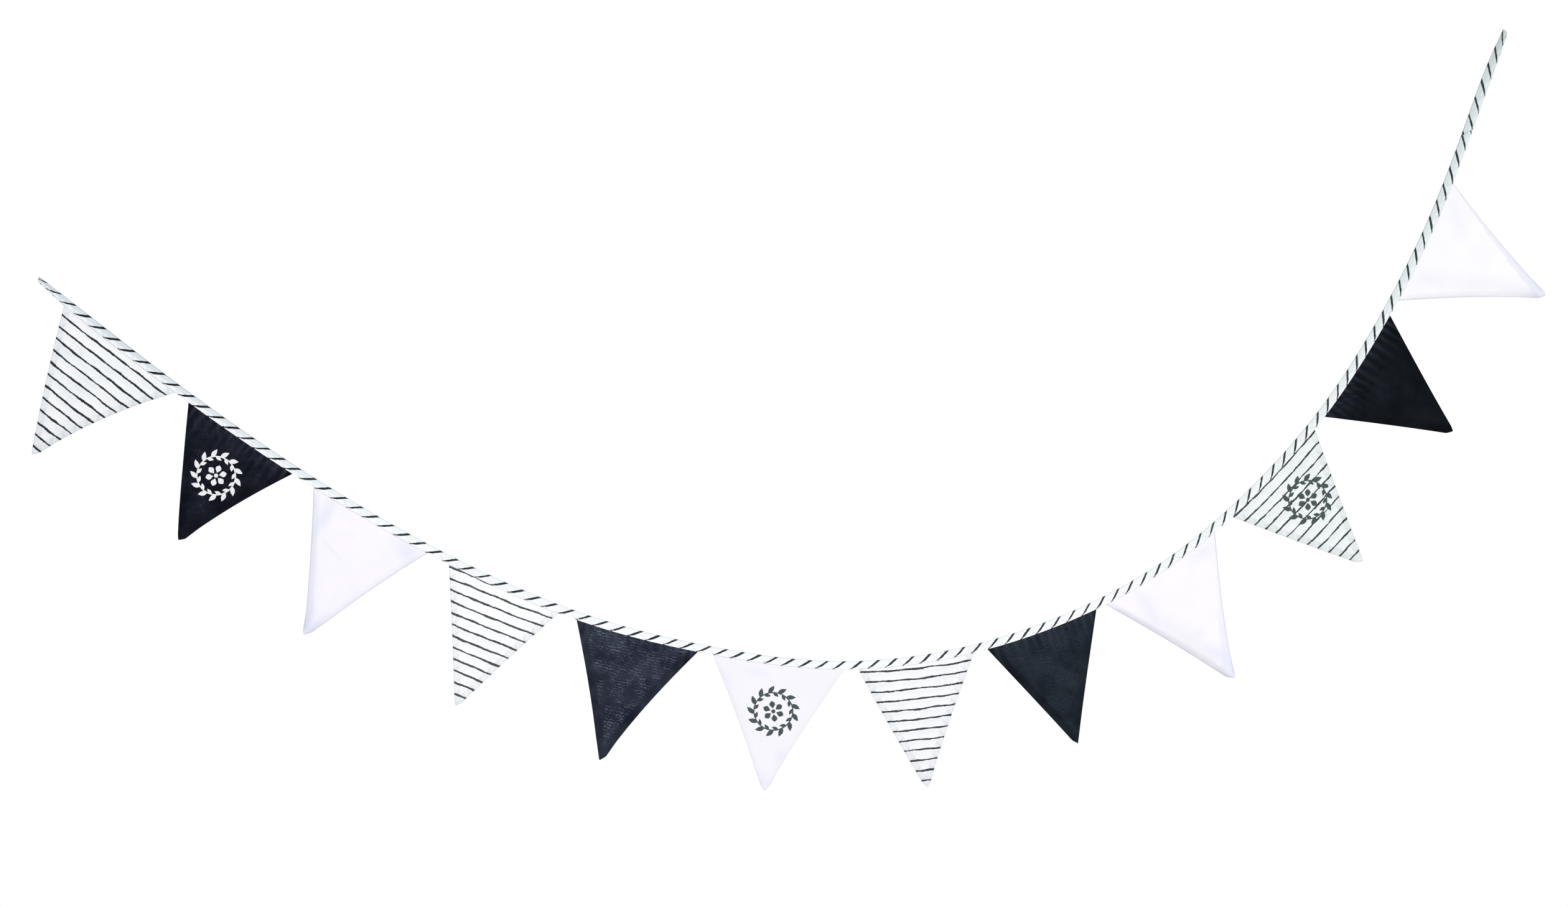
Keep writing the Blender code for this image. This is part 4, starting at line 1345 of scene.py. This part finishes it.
def textile_ink(name, light, dark):
    """Screen-printed textile ink: matt, and a little uneven where the weave takes less of it."""
    material, tree = new_finish(name, roughness=0.75, specular=0.15, sheen=0.0)
    place = add(tree, "TexCoord", [])["Object"]
    uneven = add(tree, "TexNoise", {"Vector": place, "Scale": INK_PATCHES, "Detail": 3.0})["Fac"]
    colour = add(tree, "Mix", {0: uneven, 6: rgba(light), 7: rgba(dark)}, data_type="RGBA")[2]
    grain = add(tree, "TexNoise", {"Vector": place, "Scale": INK_GRAIN, "Detail": 1.0})["Fac"]
    return dyed(material, colour, grain, INK_RELIEF)


# ---------------------------------------------------------------- the whole bunting

def build_bunting():
    """Every piece, built of the cloth that it is."""
    cottons = {"striped": striped_cotton, "navy": navy_cotton, "white": white_cotton}
    cloth = bias_tape_cotton("striped_bias_cotton")
    long_tape, long_width = add_tape("bias_tape_cloth", "bias_tape", 0.0, JOIN - JOIN_GAP / 2,
                                     LONG_STRIPES, cloth, blocks=8)
    cloth = bias_tape_cotton("striped_bias_cotton_end")
    end_tape, end_width = add_tape("joined_tape_cloth", "bias_tape_joined_end",
                                   JOIN + JOIN_GAP / 2, TAPE_LENGTH, JOINED_STRIPES, cloth, blocks=2)
    stitching = add_stitching(sewing_thread())

    dark_ink = textile_ink("dark_green_grey_textile_ink", "#3f4b4b", "#485554")
    pale_ink = textile_ink("pale_textile_ink", "#d6d7da", "#e2e3e6")
    for number, pennant in enumerate(PENNANTS, 1):
        cloth, area = add_pennant(number, cottons[pennant.cloth](number))
        if number in WREATHS:
            add_wreath(number, pale_ink if pennant.cloth == "navy" else dark_ink)


# ---------------------------------------------------------------- floor, light and camera

FLOOR_AT = (-1.04, 0, -1.62)
FLOOR_SIZE = (6.0, 4.0, 1.0)
CAMERA_AT = (-1.0404, -9.0, -0.6138)
FRAME_WIDTH = 2.268          # what the photograph's width takes in at the bunting
SENSOR = 36.0
WORLD_LIGHT = 0.52           # how much the white surroundings light the cloth


def add_floor():
    """A pale matt floor, below what the camera takes in."""
    bpy.ops.mesh.primitive_plane_add(size=1, location=FLOOR_AT)
    floor = bpy.context.object
    floor.name = "floor"
    floor.scale = FLOOR_SIZE
    material = bpy.data.materials.new("pale_floor")
    material.use_nodes = True
    shader = material.node_tree.nodes["Principled BSDF"]
    shader.inputs["Base Color"].default_value = rgba("#ecebe9")
    shader.inputs["Roughness"].default_value = 0.9
    floor.data.materials.append(material)


def add_sun(name, strength, spread, tilt, turn):
    """A soft far light: its spread in degrees, and its tilt and turn from straight down."""
    light = bpy.data.lights.new(name, "SUN")
    light.energy = strength
    light.angle = math.radians(spread)
    lamp = bpy.data.objects.new(name, light)
    lamp.rotation_euler = (math.radians(tilt), 0, math.radians(turn))
    bpy.context.scene.collection.objects.link(lamp)


def add_studio():
    """White surroundings, two soft lights from the front and one from behind, and the camera."""
    scene = bpy.context.scene
    world = bpy.data.worlds.new("white_studio")
    world.use_nodes = True
    tree = world.node_tree
    seen = add(tree, "LightPath", [])["Is Camera Ray"]
    strength = add(tree, "MapRange", {"Value": seen, 3: WORLD_LIGHT, 4: 1.0})[0]
    tree.links.new(strength, tree.nodes["Background"].inputs["Strength"])
    tree.nodes["Background"].inputs["Color"].default_value = (1, 1, 1, 1)
    scene.world = world
    scene.view_settings.view_transform = "Standard"
    add_sun("key", strength=1.75, spread=50, tilt=66, turn=16)
    add_sun("fill", strength=0.45, spread=60, tilt=76, turn=-45)
    add_sun("from_behind", strength=1.4, spread=60, tilt=70, turn=190)

    data = bpy.data.cameras.new("camera")
    data.sensor_width = SENSOR
    data.lens = SENSOR * -CAMERA_AT[1] / FRAME_WIDTH
    camera = bpy.data.objects.new("camera", data)
    camera.location = CAMERA_AT
    camera.rotation_euler = (math.pi / 2, 0, 0)
    scene.collection.objects.link(camera)
    scene.camera = camera


add_floor()
add_studio()
build_bunting()
